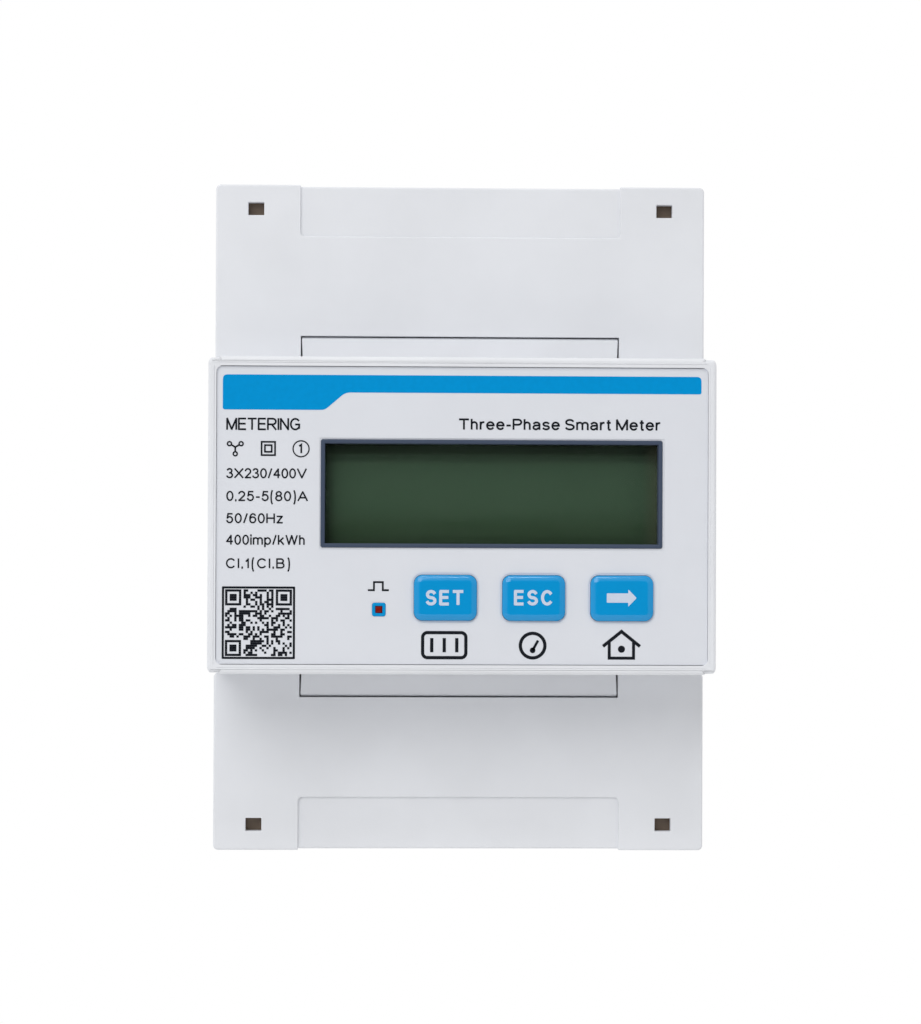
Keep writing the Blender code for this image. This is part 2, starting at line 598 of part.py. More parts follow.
def terminal_cover(side, sign, material):
    """A cap over one row of terminals, with a notch for the ledge, a shallow recess and two seal holes."""

    def span(low, high):
        return (low, high) if sign > 0 else (-high, -low)

    z = span(HALF_P + COVER_START, HALF_H)
    outline = rounded((-HALF_W, z[0]), (HALF_W, z[1]), END_CORNER, 2)
    middle = (0, COVER_Y[0], sum(z) / 2)
    cover = piece(f"{side}_terminal_cover", material, prism(outline, "Y", COVER_Y), middle)
    inside_y = (COVER_Y[0] + COVER_WALL, COVER_Y[1] + 1)
    inside_z = span(HALF_P - 1, HALF_H - COVER_WALL)
    cut(cover, "inside", slab(about(0, HALF_W - COVER_WALL), inside_y, inside_z))
    notch_z = span(HALF_P - 1, LEDGE_END + GAP)
    through_y = (COVER_Y[0] - 1, COVER_Y[1] + 1)
    cut(cover, "notch", slab(about(0, LEDGE_WIDTH / 2 + GAP), through_y, notch_z))
    recess = about(0, RECESS_WIDTH / 2)
    recess_z = span(HALF_H - RECESS_FROM_END, HALF_H + 1)
    cut(cover, "recess", slab(recess, (COVER_Y[0] - 1, COVER_Y[0] + RECESS_DEPTH), recess_z))
    end_z = span(HALF_H - RECESS_DEPTH, HALF_H + 1)
    cut(cover, "end_recess", slab(recess, through_y, end_z))
    seal_z = about(sign * (HALF_H - SEAL_FROM_END), SEAL_HOLE[1] / 2)
    seal_y = (COVER_Y[0] - 1, COVER_Y[0] + COVER_WALL + 1)
    seal_x = HALF_W - SEAL_FROM_SIDE
    holes = [slab(about(x, SEAL_HOLE[0] / 2), seal_y, seal_z) for x in (-seal_x, seal_x)]
    cut(cover, "seal_holes", *holes)
    return cover


# ---------------------------------------------------------------- display, keys and lamp
def window_outline(inset=0.0):
    wide, tall = WINDOW[0] / 2 - inset, WINDOW[1] / 2 - inset
    return rounded((WINDOW_X - wide, WINDOW_UP - tall), (WINDOW_X + wide, WINDOW_UP + tall), 0.3, 2)


def display(frame_material, pane_material, glass_material, guide_material):
    """From the front: the frame, the clear pane, the display glass and the light guide."""
    frame_y = (PANEL_Y - WINDOW_PROUD, PANE_Y - GAP)
    frame = piece("display_frame", frame_material, prism(window_outline(), "Y", frame_y))
    cut(frame, "window", prism(window_outline(WINDOW_BORDER), "Y", (frame_y[0] - 1, frame_y[1] + 1)))
    pane_y = (PANE_Y, GLASS_Y - GAP)
    piece("display_pane", pane_material, prism(window_outline(), "Y", pane_y))
    x, z = about(WINDOW_X, GLASS[0] / 2), about(WINDOW_UP, GLASS[1] / 2)
    piece("display_glass", glass_material, slab(x, (GLASS_Y, GLASS_Y + GLASS_THICK), z))
    piece("light_guide", guide_material, slab(x, (GUIDE_Y, GUIDE_Y + GUIDE_THICK), z))


def key(name, x, key_material, switch_material, plunger_material):
    """A key cap with a flange behind the plate, the switch under it and the switch's plunger."""
    z = -KEY_DOWN
    low, high = (x - KEY[0] / 2, z - KEY[1] / 2), (x + KEY[0] / 2, z + KEY[1] / 2)
    back = RIM_Y + KEY_RIM_THICK
    outline = rounded(low, high, KEY_CORNER)
    cap = piece(f"{name}_key", key_material, prism(outline, "Y", (KEY_Y, RIM_Y + GAP)), (x, KEY_Y, z))
    rim = rounded((low[0] - KEY_RIM, low[1] - KEY_RIM), (high[0] + KEY_RIM, high[1] + KEY_RIM), KEY_CORNER)
    add(cap, "rim", prism(rim, "Y", (RIM_Y, back)))
    half = SWITCH_SIDE / 2
    body = (SWITCH_Y, SWITCH_Y + SWITCH_THICK)
    switch = piece(f"{name}_switch", switch_material, slab(about(x, half), body, about(z, half)))
    hole = prism(circle(x, z, PLUNGER_RADIUS + PLUNGER_PLAY, 12), "Y", (body[0] - 1, body[0] + PLUNGER_ROOM))
    cut(switch, "hole", hole)
    rod = prism(circle(x, z, PLUNGER_RADIUS, 12), "Y", (back + GAP / 2, body[0] + PLUNGER_SUNK))
    piece(f"{name}_plunger", plunger_material, rod, (x, back, z))


def pulse_lamp(lens_material, diode_material):
    half = LAMP_SIDE / 2
    diode_y = (DISPLAY_BOARD_Y - GAP - LAMP_DIODE[1], DISPLAY_BOARD_Y - GAP)
    lens_y = (PANEL_Y - 0.05, diode_y[0] - GAP)
    corners = ((LAMP_X - half, -LAMP_DOWN - half), (LAMP_X + half, -LAMP_DOWN + half))
    piece("pulse_lens", lens_material, prism(rounded(*corners, 0.35, 2), "Y", lens_y))
    side = about(LAMP_X, LAMP_DIODE[0] / 2), about(-LAMP_DOWN, LAMP_DIODE[0] / 2)
    piece("pulse_diode", diode_material, slab(side[0], diode_y, side[1]))


# ---------------------------------------------------------------- boards and their parts
def on_board(from_edge, up=1):
    """The middle of a part, from its distances to a board's left edge and to its upper or lower edge."""
    return from_edge[0] - BOARD_HALF[0], up * (BOARD_HALF[1] - from_edge[1])


def boards(board_material, chip_material, core_material, can_material, disc_material):
    """Two circuit boards joined by a header, with the supply and measuring parts between them."""
    x, z = about(0, BOARD_HALF[0]), about(0, BOARD_HALF[1])
    piece("display_board", board_material, slab(x, (DISPLAY_BOARD_Y, DISPLAY_BOARD_Y + BOARD_THICK), z))
    piece("main_board", board_material, slab(x, (MAIN_BOARD_Y, MAIN_BOARD_Y + BOARD_THICK), z))
    header_x = about(BOARD_HALF[0] - HEADER_FROM_EDGE, HEADER[0] / 2)
    piece("board_header", chip_material, slab(header_x, (HEADER_Y, PARTS_Y), about(0, HEADER[1] / 2)))

    tall = HEADER_Y + TALL_PART_ROOM
    x, z = on_board(CORE_FROM_EDGE)
    core = slab(about(x, CORE[0] / 2), (tall, PARTS_Y), about(z, CORE[1] / 2))
    piece("supply_transformer", core_material, core)
    can = prism(circle(*on_board(CAN_FROM_EDGE), CAN_RADIUS, 16), "Y", (tall, PARTS_Y))
    piece("backup_capacitor", can_material, can, smooth=True)
    disc = prism(circle(*on_board(DISC_FROM_EDGE, -1), DISC[0], 16), "Y", (PARTS_Y - DISC[1], PARTS_Y))
    piece("surge_varistor", disc_material, disc, smooth=True)
    x, z = on_board(CHIP_FROM_EDGE)
    chip = slab(about(x, CHIP[0] / 2), (PARTS_Y - CHIP[1], PARTS_Y), about(z, CHIP[0] / 2))
    piece("metering_chip", chip_material, chip)


# ---------------------------------------------------------------- the whole meter
def build():
    for old in list(bpy.data.objects):
        bpy.data.objects.remove(old, do_unlink=True)

    white = finish("white_housing", (0.80, 0.81, 0.83), 0.42)
    cover_white = finish("white_cover", (0.79, 0.80, 0.82), 0.45)
    block_grey = finish("block_grey", (0.62, 0.63, 0.65), 0.5)
    panel = finish("panel_print", (0.78, 0.79, 0.82), 0.35)
    clip_grey = finish("clip_grey", (0.12, 0.12, 0.13), 0.5)
    steel = finish("spring_steel", (0.55, 0.55, 0.56), 0.3, 1.0)
    plated = finish("plated_steel", (0.72, 0.70, 0.64), 0.28, 1.0)
    copper = finish("copper_bar", (0.80, 0.45, 0.30), 0.3, 1.0)
    resin = finish("core_resin", (0.03, 0.05, 0.12), 0.45)
    frame = finish("frame_grey", (0.08, 0.09, 0.14), 0.4)
    pane = finish("clear_pane", (0.9, 0.95, 0.92), 0.05, 0.0, 0.3)
    glass = finish("display_green", (0.04, 0.07, 0.045), 0.15)
    guide = finish("light_guide", (0.75, 0.78, 0.74), 0.3)
    blue = finish("key_blue", (0.0, 0.28, 0.64), 0.2)
    black = finish("black_resin", (0.03, 0.03, 0.03), 0.5)
    plunger = finish("plunger_resin", (0.25, 0.06, 0.04), 0.5)
    lens = finish("lens_red", (0.25, 0.01, 0.01), 0.15)
    diode = finish("diode_resin", (0.7, 0.68, 0.6), 0.3)
    board = finish("board_green", (0.02, 0.16, 0.07), 0.4)
    core = finish("transformer_core", (0.10, 0.09, 0.08), 0.5)
    can = finish("capacitor_can", (0.05, 0.06, 0.16), 0.3)
    disc = finish("varistor_blue", (0.02, 0.12, 0.35), 0.35)

    rear_case(white)
    rail_clip(clip_grey)
    clip_spring(steel)
    for side, sign in (("upper", 1), ("lower", -1)):
        terminal_block(side, sign, block_grey)
        terminal_cover(side, sign, cover_white)
        for number, x in enumerate(POLE_X, 1):
            lift_cage(f"{side}_cage_{number}", x, sign * BAY_MIDDLE, plated)
            terminal_screw(f"{side}_screw_{number}", x, sign * BAY_MIDDLE, plated)
    for number, x in enumerate(POLE_X[:3], 1):
        bar(f"phase_bar_{number}", x, copper)
        current_transformer(f"current_transformer_{number}", x, resin)
    bar("neutral_bar", POLE_X[3], copper)
    signal_terminals(block_grey, plated)
    middle_housing(white)
    front_cover(white)
    panel_overlay(panel)
    display(frame, pane, glass, guide)
    for name, x in zip(("set", "escape", "arrow"), KEY_X):
        key(name, x, blue, black, plunger)
    pulse_lamp(lens, diode)
    boards(board, black, core, can, disc)


build()
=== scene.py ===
# %% [markdown]
# # A rail-mounted electricity meter, piece by piece
# The meter is a stack of pale moulded shells with a printed panel, a small liquid-crystal display,
# three blue keys and a red pulse lamp. Two rows of screw clamps hide under lift-off covers, and a
# sprung clip at the back holds the rail. The engineering model already gives every piece its size
# and its place, so this lesson loads it first and then makes each visible piece finer.

# %% Load the engineering model
import json
import math

import bmesh
import bpy
import numpy as np
from mathutils import Matrix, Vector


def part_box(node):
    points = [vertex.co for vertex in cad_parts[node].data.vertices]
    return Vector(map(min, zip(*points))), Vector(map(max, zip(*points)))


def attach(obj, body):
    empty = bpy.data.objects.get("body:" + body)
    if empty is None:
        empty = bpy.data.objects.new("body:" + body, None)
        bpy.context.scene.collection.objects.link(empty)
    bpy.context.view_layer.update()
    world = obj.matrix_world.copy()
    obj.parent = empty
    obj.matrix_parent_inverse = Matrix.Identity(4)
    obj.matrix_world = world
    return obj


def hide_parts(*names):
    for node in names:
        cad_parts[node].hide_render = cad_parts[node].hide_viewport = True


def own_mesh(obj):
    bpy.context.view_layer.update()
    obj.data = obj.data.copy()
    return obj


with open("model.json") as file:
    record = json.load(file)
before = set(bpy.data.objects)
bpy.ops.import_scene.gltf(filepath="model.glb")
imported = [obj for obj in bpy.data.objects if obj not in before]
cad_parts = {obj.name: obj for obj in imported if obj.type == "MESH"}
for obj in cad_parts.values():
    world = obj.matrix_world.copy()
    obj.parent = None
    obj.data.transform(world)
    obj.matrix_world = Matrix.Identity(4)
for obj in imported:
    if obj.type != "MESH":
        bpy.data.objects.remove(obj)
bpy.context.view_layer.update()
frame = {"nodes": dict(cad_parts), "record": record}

MM = 0.001
record, nodes = frame["record"], frame["nodes"]
home = {node: body for body, names in record["behaviour"]["bodies"].items() for node in names}
slot_of = {row["node"]: row["material_slot"] for row in record["subparts"]}


# %% [markdown]
# ## Measuring
# Every position comes from the model. Millimetres are easier to think in than metres, so sizes are
# read in millimetres and turned back into metres where a mesh is made.

# %% Boxes in millimetres
def span(node):
    """Lowest and highest corner of a piece of the model, in millimetres."""
    low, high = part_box(node)
    return np.array(low) / MM, np.array(high) / MM


def front_view(node):
    """Middle and half size of a piece in x and z, in millimetres."""
    low, high = span(node)
    return (low[[0, 2]] + high[[0, 2]]) / 2, (high[[0, 2]] - low[[0, 2]]) / 2


panel_low, panel_high = span("panel_overlay")
PANEL_Y = panel_low[1]
print("panel face at y =", round(PANEL_Y, 2), "mm, half sizes", panel_high[[0, 2]].round(2))


# %% [markdown]
# ## Surfaces from numbers
# Most new pieces are a ring of points carried along a profile: one direction of the grid goes round
# the ring, the other along the profile. Neighbouring points are joined by four-sided faces, and the
# two ends are closed by one face each. Bands such as a window frame close on themselves instead.

# %% Rings
def ring(half_x, half_z, radius, count=48):
    """Points round a rectangle with round corners: each corner circle's centre plus the radius in
    the direction of an angle that goes evenly round; the straight sides join the quarter circles."""
    angle = (np.arange(count) + 0.5) * 2 * np.pi / count
    out = np.stack([np.cos(angle), np.sin(angle)], axis=1)
    return np.sign(out) * [half_x - radius, half_z - radius] + radius * out


def lofted(middle, half, corner, profile, count=48):
    """A ring for each (inset, y) of a profile: the inset shrinks the half sizes and the corner
    radius alike, so the wall keeps its distance from the outline. Gives rows by points by xyz."""
    rows = []
    for inset, y in profile:
        flat = ring(half[0] - inset, half[1] - inset, max(corner - inset, 0.05), count)
        rows.append(np.insert(flat + middle, 1, y, axis=1))
    return np.array(rows)


# %% Skins
def skin(grid, loop=False):
    """Faces over a grid whose second direction closes on itself. The first direction is capped at
    both ends, or joined end to end where loop is true. Gives (points, faces)."""
    rows, count = grid.shape[:2]
    index = np.arange(rows * count).reshape(rows, count)
    if loop:
        index = np.vstack([index, index[:1]])
    low, high = index[:-1], index[1:]
    quads = np.stack([low, np.roll(low, -1, 1), np.roll(high, -1, 1), high], axis=-1)
    faces = quads.reshape(-1, 4).tolist()
    if not loop:
        faces += [index[0].tolist(), index[-1].tolist()]
    return grid.reshape(-1, 3), faces


def slab(outline, y):
    """A flat outline in x and z given the thickness between two values of y."""
    flat = np.array(outline, float)
    return skin(np.stack([np.insert(flat, 1, value, axis=1) for value in y]))


def hoop(outer_line, inner_line, y):
    """A flat ring between two outlines with equally many points, given the thickness of y."""
    rows = [(outer_line, y[0]), (outer_line, y[1]), (inner_line, y[1]), (inner_line, y[0])]
    return skin(np.stack([np.insert(line, 1, depth, axis=1) for line, depth in rows]), loop=True)


def joined(*parts):
    """Several (points, faces) as one, each part's faces counted on from the points before it."""
    points, faces, start = [], [], 0
    for part_points, part_faces in parts:
        points.append(np.asarray(part_points))
        faces += [[start + i for i in face] for face in part_faces]
        start += len(part_points)
    return np.concatenate(points), faces


# %% Putting a piece into the scene
made = []


def linked(name, data):
    """A new object in the scene."""
    obj = bpy.data.objects.new(name, data)
    bpy.context.scene.collection.objects.link(obj)
    return obj


def points_of(mesh):
    """The mesh's points as rows of x, y and z."""
    points = np.empty(len(mesh.vertices) * 3, np.float32)
    mesh.vertices.foreach_get("co", points)
    return points.reshape(-1, 3)


def place(obj, material, body, slot, *stands_for, angle=35):
    """Smooths a piece up to an angle, paints it, hangs it on what it rides on, hides what it stands for."""
    obj.data.materials.clear()
    obj.data.materials.append(material)
    obj.data.shade_smooth()
    obj.data.set_sharp_from_angle(angle=math.radians(angle))
    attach(obj, body)
    if stands_for:
        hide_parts(*stands_for)
    made.append(obj.name)
    return obj


def piece(name, shape, material, body, slot, *stands_for, angle=35):
    """A new object from (points, faces) in millimetres, with its faces turned outwards."""
    mesh = bpy.data.meshes.new(name)
    mesh.from_pydata((np.asarray(shape[0]) * MM).tolist(), [], shape[1])
    build = bmesh.new()
    build.from_mesh(mesh)
    bmesh.ops.recalc_face_normals(build, faces=build.faces)
    build.to_mesh(mesh)
    build.free()
    return place(linked(name, mesh), material, body, slot, *stands_for, angle=angle)


def softened(node, width, material, name, weigh=None, settle=None, segments=3, cuts=()):
    """A copy of one of the model's pieces with its doubles merged, its flat triangles joined, and its
    edges rounded. Weighted normals keep its large faces flat. settle(points) may move points, in mm;
    weigh(middles) gives each edge's share of the width, from the middles of the edges in mm. Only
    edges that turn by over 30 degrees count. A flat face with a hole is split where x is in cuts, so
    that the line from its hole to its outline meets the outline squarely."""
    build = bmesh.new()
    build.from_mesh(nodes[node].data)
    bmesh.ops.remove_doubles(build, verts=build.verts, dist=2e-3 * MM)
    if settle:
        mesh = bpy.data.meshes.new(name)
        build.to_mesh(mesh)
        moved = points_of(mesh) / MM
        settle(moved)
        mesh.vertices.foreach_set("co", (moved * MM).astype(np.float32).ravel())
        build.clear()
        build.from_mesh(mesh)
        bmesh.ops.remove_doubles(build, verts=build.verts, dist=2e-3 * MM)
    for x in cuts:
        everything = [*build.verts, *build.edges, *build.faces]
        cut = bmesh.ops.bisect_plane(build, geom=everything, plane_co=(x * MM, 0, 0),
                                     plane_no=(1, 0, 0))
        for part in cut["geom_cut"]:
            if isinstance(part, bmesh.types.BMEdge):
                part.seam = True
    flat = math.radians(0.6)
    bmesh.ops.dissolve_limit(build, angle_limit=flat, verts=build.verts, edges=build.edges,
                             delimit={"SEAM"})
    corner = np.array([edge.calc_face_angle(0.0) > math.radians(30) for edge in build.edges])
    mesh = bpy.data.meshes.new(name)
    build.to_mesh(mesh)
    build.free()
    obj = linked(name, mesh)
    ends = np.empty(len(mesh.edges) * 2, np.int32)
    mesh.edges.foreach_get("vertices", ends)
    middles = points_of(mesh)[ends.reshape(-1, 2)].mean(axis=1) / MM
    share = corner * (weigh(middles) if weigh else 1.0)
    weight = mesh.attributes.new("bevel_weight_edge", "FLOAT", "EDGE")
    weight.data.foreach_set("value", share.astype(np.float32))
    bevel = obj.modifiers.new("soft edges", "BEVEL")
    bevel.width, bevel.segments, bevel.limit_method = width * MM, segments, "WEIGHT"
    bevel.use_clamp_overlap = weigh is None
    flats = obj.modifiers.new("flat faces", "WEIGHTED_NORMAL")
    flats.keep_sharp, flats.weight = True, 70
    return place(obj, material, home[node], slot_of[node], node)


print("helpers ready")


# %% [markdown]
# ## Finishes
# A finish is a small network of nodes around one Principled shader. Moulded plastic is not quite one
# colour: the spark-eroded mould leaves a fine grain, and the melt leaves faint clouds. Both are made
# from noise on the object's own coordinates, at their real size, so they stay put as pieces move.

# %% A short way to write node networks
class Network:
    """Nodes in a tree: add() makes one and links or sets its sockets, and place is the coordinate."""

    def __init__(self, tree, place=None):
        self.tree, self.place = tree, place

    def put(self, socket, value):
        if isinstance(value, bpy.types.NodeSocket):
            self.tree.links.new(value, socket)
        else:
            socket.default_value = value

    def add(self, kind, sockets=None, out=0, **settings):
        node = self.tree.nodes.new("ShaderNode" + kind)
        for name, value in settings.items():
            setattr(node, name, value)
        for name, value in (sockets or {}).items():
            self.put(node.inputs[name], value)
        return node.outputs[out]

    def along(self, axis):
        return self.add("SeparateXYZ", {0: self.place}, out=axis)

    def stretched(self, scale, turn=(0.0, 0.0, 0.0)):
        return self.add("Mapping", {"Vector": self.place, "Scale": scale, "Rotation": turn})

    def noise(self, scale, detail=2.0, vector=None):
        place = self.place if vector is None else vector
        sockets = {"Vector": place, "Scale": scale, "Detail": detail, "Roughness": 0.5}
        return self.add("TexNoise", sockets, out="Fac")

    def between(self, factor, low, high, start=0.35, end=0.65, **settings):
        """A value that runs from low to high as the factor runs from start to end."""
        sockets = {"Value": factor, "From Min": start, "From Max": end, "To Min": low, "To Max": high}
        return self.add("MapRange", sockets, **settings)

    def mixed(self, factor, first, second):
        """A colour between two others."""
        return self.add("Mix", {"Factor": factor, 6: first, 7: second}, out=2, data_type="RGBA")

    def blend(self, factor, first, second):
        """A number between two others."""
        return self.add("Mix", {"Factor": factor, 2: first, 3: second}, data_type="FLOAT")

    def bump(self, height, depth, more=None, **settings):
        """Raises the surface by depth millimetres where the height is 1."""
        sockets = {"Height": height, "Distance": depth * MM, "Strength": 1.0, **(more or {})}
        return self.add("Bump", sockets, **settings)


class Finish(Network):
    """One material's network: to() feeds its shader."""

    def __init__(self, name, roughness=0.5, metallic=0.0, **sockets):
        self.material = bpy.data.materials.new(name)
        self.material.use_nodes = True
        super().__init__(self.material.node_tree)
        self.shader = self.tree.nodes["Principled BSDF"]
        self.to(Roughness=roughness, Metallic=metallic, **sockets)
        self.place = self.add("TexCoord", out="Object")

    def to(self, **sockets):
        for name, value in sockets.items():
            self.put(self.shader.inputs[name.replace("_", " ")], value)


def grey(value, alpha=1.0):
    return (value, value, value, alpha)


def shade(colour, share):
    return tuple(min(1.0, c * share) for c in colour[:3]) + (1.0,)


# %% Moulded plastics
def moulded(name, colour, roughness, grain=0.22, depth=0.006, cloud=0.02, **sockets):
    """Grain of about that many millimetres, raised by depth, clouds of colour a centimetre across,
    and a sheen that varies with a third, finer noise."""
    f = Finish(name, roughness, **sockets)
    fine = f.noise(1 / (grain * MM), 3.0)
    clouds = f.between(f.noise(70.0, 3.0), 0.0, 1.0)
    f.to(Base_Color=f.mixed(clouds, shade(colour, 1 - cloud), shade(colour, 1 + cloud)))
    f.to(Roughness=f.between(f.noise(420.0, 2.0), roughness - 0.05, roughness + 0.05))
    f.to(Normal=f.bump(fine, depth))
    return f.material


HOUSING = (0.79, 0.805, 0.84)
housing = moulded("housing_plastic", HOUSING, 0.46, Specular_IOR_Level=0.35)
cover_plastic = moulded("cover_plastic", (0.785, 0.80, 0.835), 0.48, grain=0.25,
                        Specular_IOR_Level=0.35)
block_plastic = moulded("block_plastic", (0.47, 0.45, 0.43), 0.5, grain=0.3, depth=0.01)
film = moulded("panel_film", (0.745, 0.765, 0.815), 0.38, grain=0.12, depth=0.0015, cloud=0.008)
clip_plastic = moulded("clip_plastic", (0.055, 0.055, 0.06), 0.42, grain=0.35, depth=0.012, cloud=0.12)
frame_plastic = moulded("display_frame_plastic", (0.056, 0.076, 0.122), 0.4, grain=0.15, depth=0.002,
                        Specular_IOR_Level=0.2)
resin = moulded("black_resin", (0.03, 0.03, 0.032), 0.5, grain=0.2, depth=0.008, cloud=0.15)
potting = moulded("potting_resin", (0.03, 0.05, 0.12), 0.35, grain=2.5, depth=0.06, cloud=0.2)
nylon = moulded("plunger_nylon", (0.25, 0.06, 0.04), 0.5, grain=0.3, depth=0.01, cloud=0.05)
print("moulded plastics:", len(bpy.data.materials))

# %% [markdown]
# The keys and the lamp's rim are glossy silicone rubber: almost no grain, and long, very low waves.
# Ink is duller than the film it is printed on, so its colour stays deep.

# %% Keys, ink and lamp
BLUE = (0.0, 0.300, 0.668)


def glossy(name, colour, roughness, **sockets):
    """A smooth skin that carries soft highlights; long waves keep it from looking cut."""
    f = Finish(name, roughness, **sockets)
    clouds = f.noise(260.0, 2.0)
    f.to(Base_Color=f.mixed(clouds, shade(colour, 0.97), shade(colour, 1.03)))
    f.to(Normal=f.bump(f.noise(900.0, 1.0), 0.004))
    return f.material


def printed(name, colour):
    """Screen-printed ink: the mesh of the screen leaves tiny hills, and the ink is not quite even."""
    f = Finish(name, 0.5, Specular_IOR_Level=0.05)
    weave = f.add("TexVoronoi", {"Vector": f.place, "Scale": 9000.0}, out="Distance")
    f.to(Base_Color=f.mixed(f.noise(1500.0), shade(colour, 0.94), shade(colour, 1.06)))
    f.to(Normal=f.bump(weave, 0.003))
    return f.material


key_rubber = glossy("key_blue_rubber", BLUE, 0.14, Specular_IOR_Level=0.5)
blue_ink = printed("blue_ink", (0.0, 0.285, 0.65))
dark_ink = printed("dark_ink", (0.011, 0.013, 0.018))
pale_ink = printed("pale_ink", (0.60, 0.67, 0.80))
lens_resin = glossy("lamp_lens_resin", (0.22, 0.008, 0.003), 0.25, Specular_IOR_Level=0.2)
print("inks and rubber ready")

# %% [markdown]
# Metal parts: zinc-plated steel has a soft crystalline pattern, copper bars show the straight marks
# of the rolling mill, and spring wire has fine lines along its drawn length.

# %% Metals
def plated(name, colour, roughness):
    """Zinc: cells a third of a millimetre across that differ a little in brightness and gloss."""
    f = Finish(name, roughness, 1.0)
    cells = f.add("TexVoronoi", {"Vector": f.place, "Scale": 2600.0}, out="Color")
    value = f.add("RGBToBW", {"Color": cells})
    f.to(Base_Color=f.mixed(value, shade(colour, 0.86), shade(colour, 1.08)))
    f.to(Roughness=f.between(value, roughness - 0.06, roughness + 0.1, 0.0, 1.0))
    f.to(Normal=f.bump(f.noise(5000.0, 3.0), 0.004))
    return f.material


def rolled(name, colour, roughness, stretch=(2600.0, 2600.0, 60.0)):
    """Straight marks: noise stretched forty times along one axis, in colour, gloss and height."""
    f = Finish(name, roughness, 1.0)
    marks = f.noise(1.0, 4.0, f.stretched(stretch))
    stain = f.between(f.noise(160.0, 3.0), 0.0, 1.0, 0.4, 0.75)
    bright = f.mixed(marks, shade(colour, 0.82), shade(colour, 1.1))
    f.to(Base_Color=f.mixed(stain, bright, shade(colour, 0.62)))
    f.to(Roughness=f.between(marks, roughness - 0.08, roughness + 0.12))
    f.to(Normal=f.bump(marks, 0.004))
    return f.material


zinc = plated("zinc_plated_steel", (0.72, 0.70, 0.64), 0.3)
wire = rolled("spring_wire", (0.62, 0.62, 0.63), 0.26, (3000.0, 3000.0, 300.0))
copper = rolled("rolled_copper", (0.82, 0.46, 0.30), 0.3)
print("metals ready")

# %% [markdown]
# The display is a liquid-crystal cell that is switched off: dull green glass. Its colour is darkest
# in a band under the frame's upper edge, which is painted shade that stands for the frame's shadow.
# It is darker towards the bottom and at the left edge, and painted light makes it lighter and browner
# at the right. Its colour follows the height in the window, so the network reads the z and x
# coordinates and turns them into shades.

# %% Display glass, pane and light guide
window_low, window_high = span("display_frame")


def liquid_crystal(name):
    """Green glass whose colour runs with height, with painted shade in a band at the top for the
    frame's shadow. It is darker at the left edge, lighter and browner at the right by painted light, and
    streaked finely."""
    f = Finish(name, 0.3, Specular_IOR_Level=0.05)
    x = f.along("X")
    height = f.between(f.along("Z"), 0.0, 1.0, window_low[2] * MM, window_high[2] * MM)
    painted_shade_ramp = f.tree.nodes.new("ShaderNodeValToRGB")
    f.put(painted_shade_ramp.inputs["Fac"], height)
    # Painted shade: the stops near the top make a dark band that stands for the frame's shadow on the
    # glass, and the lowest stops make it darker towards the bottom.
    stops = ((0.0, (0.020, 0.044, 0.019)), (0.15, (0.026, 0.058, 0.025)),
             (0.45, (0.040, 0.080, 0.044)), (0.76, (0.043, 0.084, 0.048)),
             (0.85, (0.027, 0.052, 0.029)), (0.91, (0.008, 0.017, 0.008)), (1.0, (0.005, 0.012, 0.005)))
    band = painted_shade_ramp.color_ramp
    band.interpolation = "EASE"
    for at, colour in stops[1:-1]:
        band.elements.new(at).color = (*colour, 1.0)
    band.elements[0].color, band.elements[-1].color = (*stops[0][1], 1.0), (*stops[-1][1], 1.0)
    left = f.between(x, 0.6, 0.0, (window_low[0] + 0.4) * MM, (window_low[0] + 1.9) * MM)
    # Painted light: the right edge is mixed towards a lighter, browner colour, as if it were lit from the
    # left.
    right = f.between(x, 0.0, 0.4, (window_high[0] - 2.6) * MM, (window_high[0] - 0.6) * MM)
    streaks = f.noise(1.0, 3.0, f.stretched((60.0, 60.0, 900.0)))
    shaded = f.mixed(left, painted_shade_ramp.outputs["Color"], (0.004, 0.007, 0.003, 1.0))
    shaded = f.mixed(right, shaded, (0.10, 0.095, 0.06, 1.0))
    f.to(Base_Color=f.mixed(f.between(streaks, 0.0, 0.14), shaded, (0.06, 0.10, 0.06, 1.0)))
    f.to(Normal=f.bump(f.noise(300.0), 0.002))
    return f.material


def clear(name, alpha, roughness):
    """Acrylic: nearly all of the light goes straight through, and the surface keeps its gloss."""
    f = Finish(name, roughness, Alpha=alpha, Specular_IOR_Level=0.2)
    f.to(Base_Color=f.mixed(f.noise(120.0), (0.10, 0.13, 0.11, 1.0), (0.13, 0.16, 0.14, 1.0)))
    f.to(Normal=f.bump(f.noise(500.0, 1.0), 0.0015))
    return f.material


crystal = liquid_crystal("liquid_crystal_glass")
pane_acrylic = clear("clear_acrylic", 0.06, 0.06)
guide_acrylic = moulded("milky_acrylic", (0.75, 0.78, 0.74), 0.25, grain=0.6, depth=0.01)
diode_resin = glossy("diode_resin", (0.7, 0.68, 0.6), 0.2)
print("display from z", window_low[2].round(2), "to", window_high[2].round(2), "mm")


# %% [markdown]
# The circuit boards lie deep inside, yet they carry the finish of real ones: a green solder mask over
# copper tracks, with rows of small pads. A brick pattern gives the tracks and a grid the pads.

# %% Boards and their parts
def solder_mask(name):
    """Green lacquer over a pattern of tracks: a brick pattern decides where copper lies under it."""
    f = Finish(name, 0.32, Coat_Weight=0.3, Coat_Roughness=0.1)
    upright = f.stretched((1.0, 1.0, 1.0), (math.pi / 2, 0.0, 0.0))
    sockets = {"Vector": upright, "Scale": 1.0, "Mortar Size": 0.00025, "Brick Width": 0.0062,
               "Row Height": 0.0021, "Color1": grey(0.0), "Color2": grey(0.35), "Mortar": grey(1.0)}
    tracks = f.add("TexBrick", sockets)
    pads = f.add("TexVoronoi", {"Vector": upright, "Scale": 420.0}, out="Distance")
    on_pad = f.between(pads, 1.0, 0.0, 0.12, 0.16)
    green = f.mixed(tracks, (0.010, 0.095, 0.04, 1.0), (0.018, 0.165, 0.07, 1.0))
    f.to(Base_Color=f.mixed(on_pad, green, (0.62, 0.60, 0.52, 1.0)), Metallic=on_pad)
    f.to(Normal=f.bump(tracks, 0.03))
    return f.material


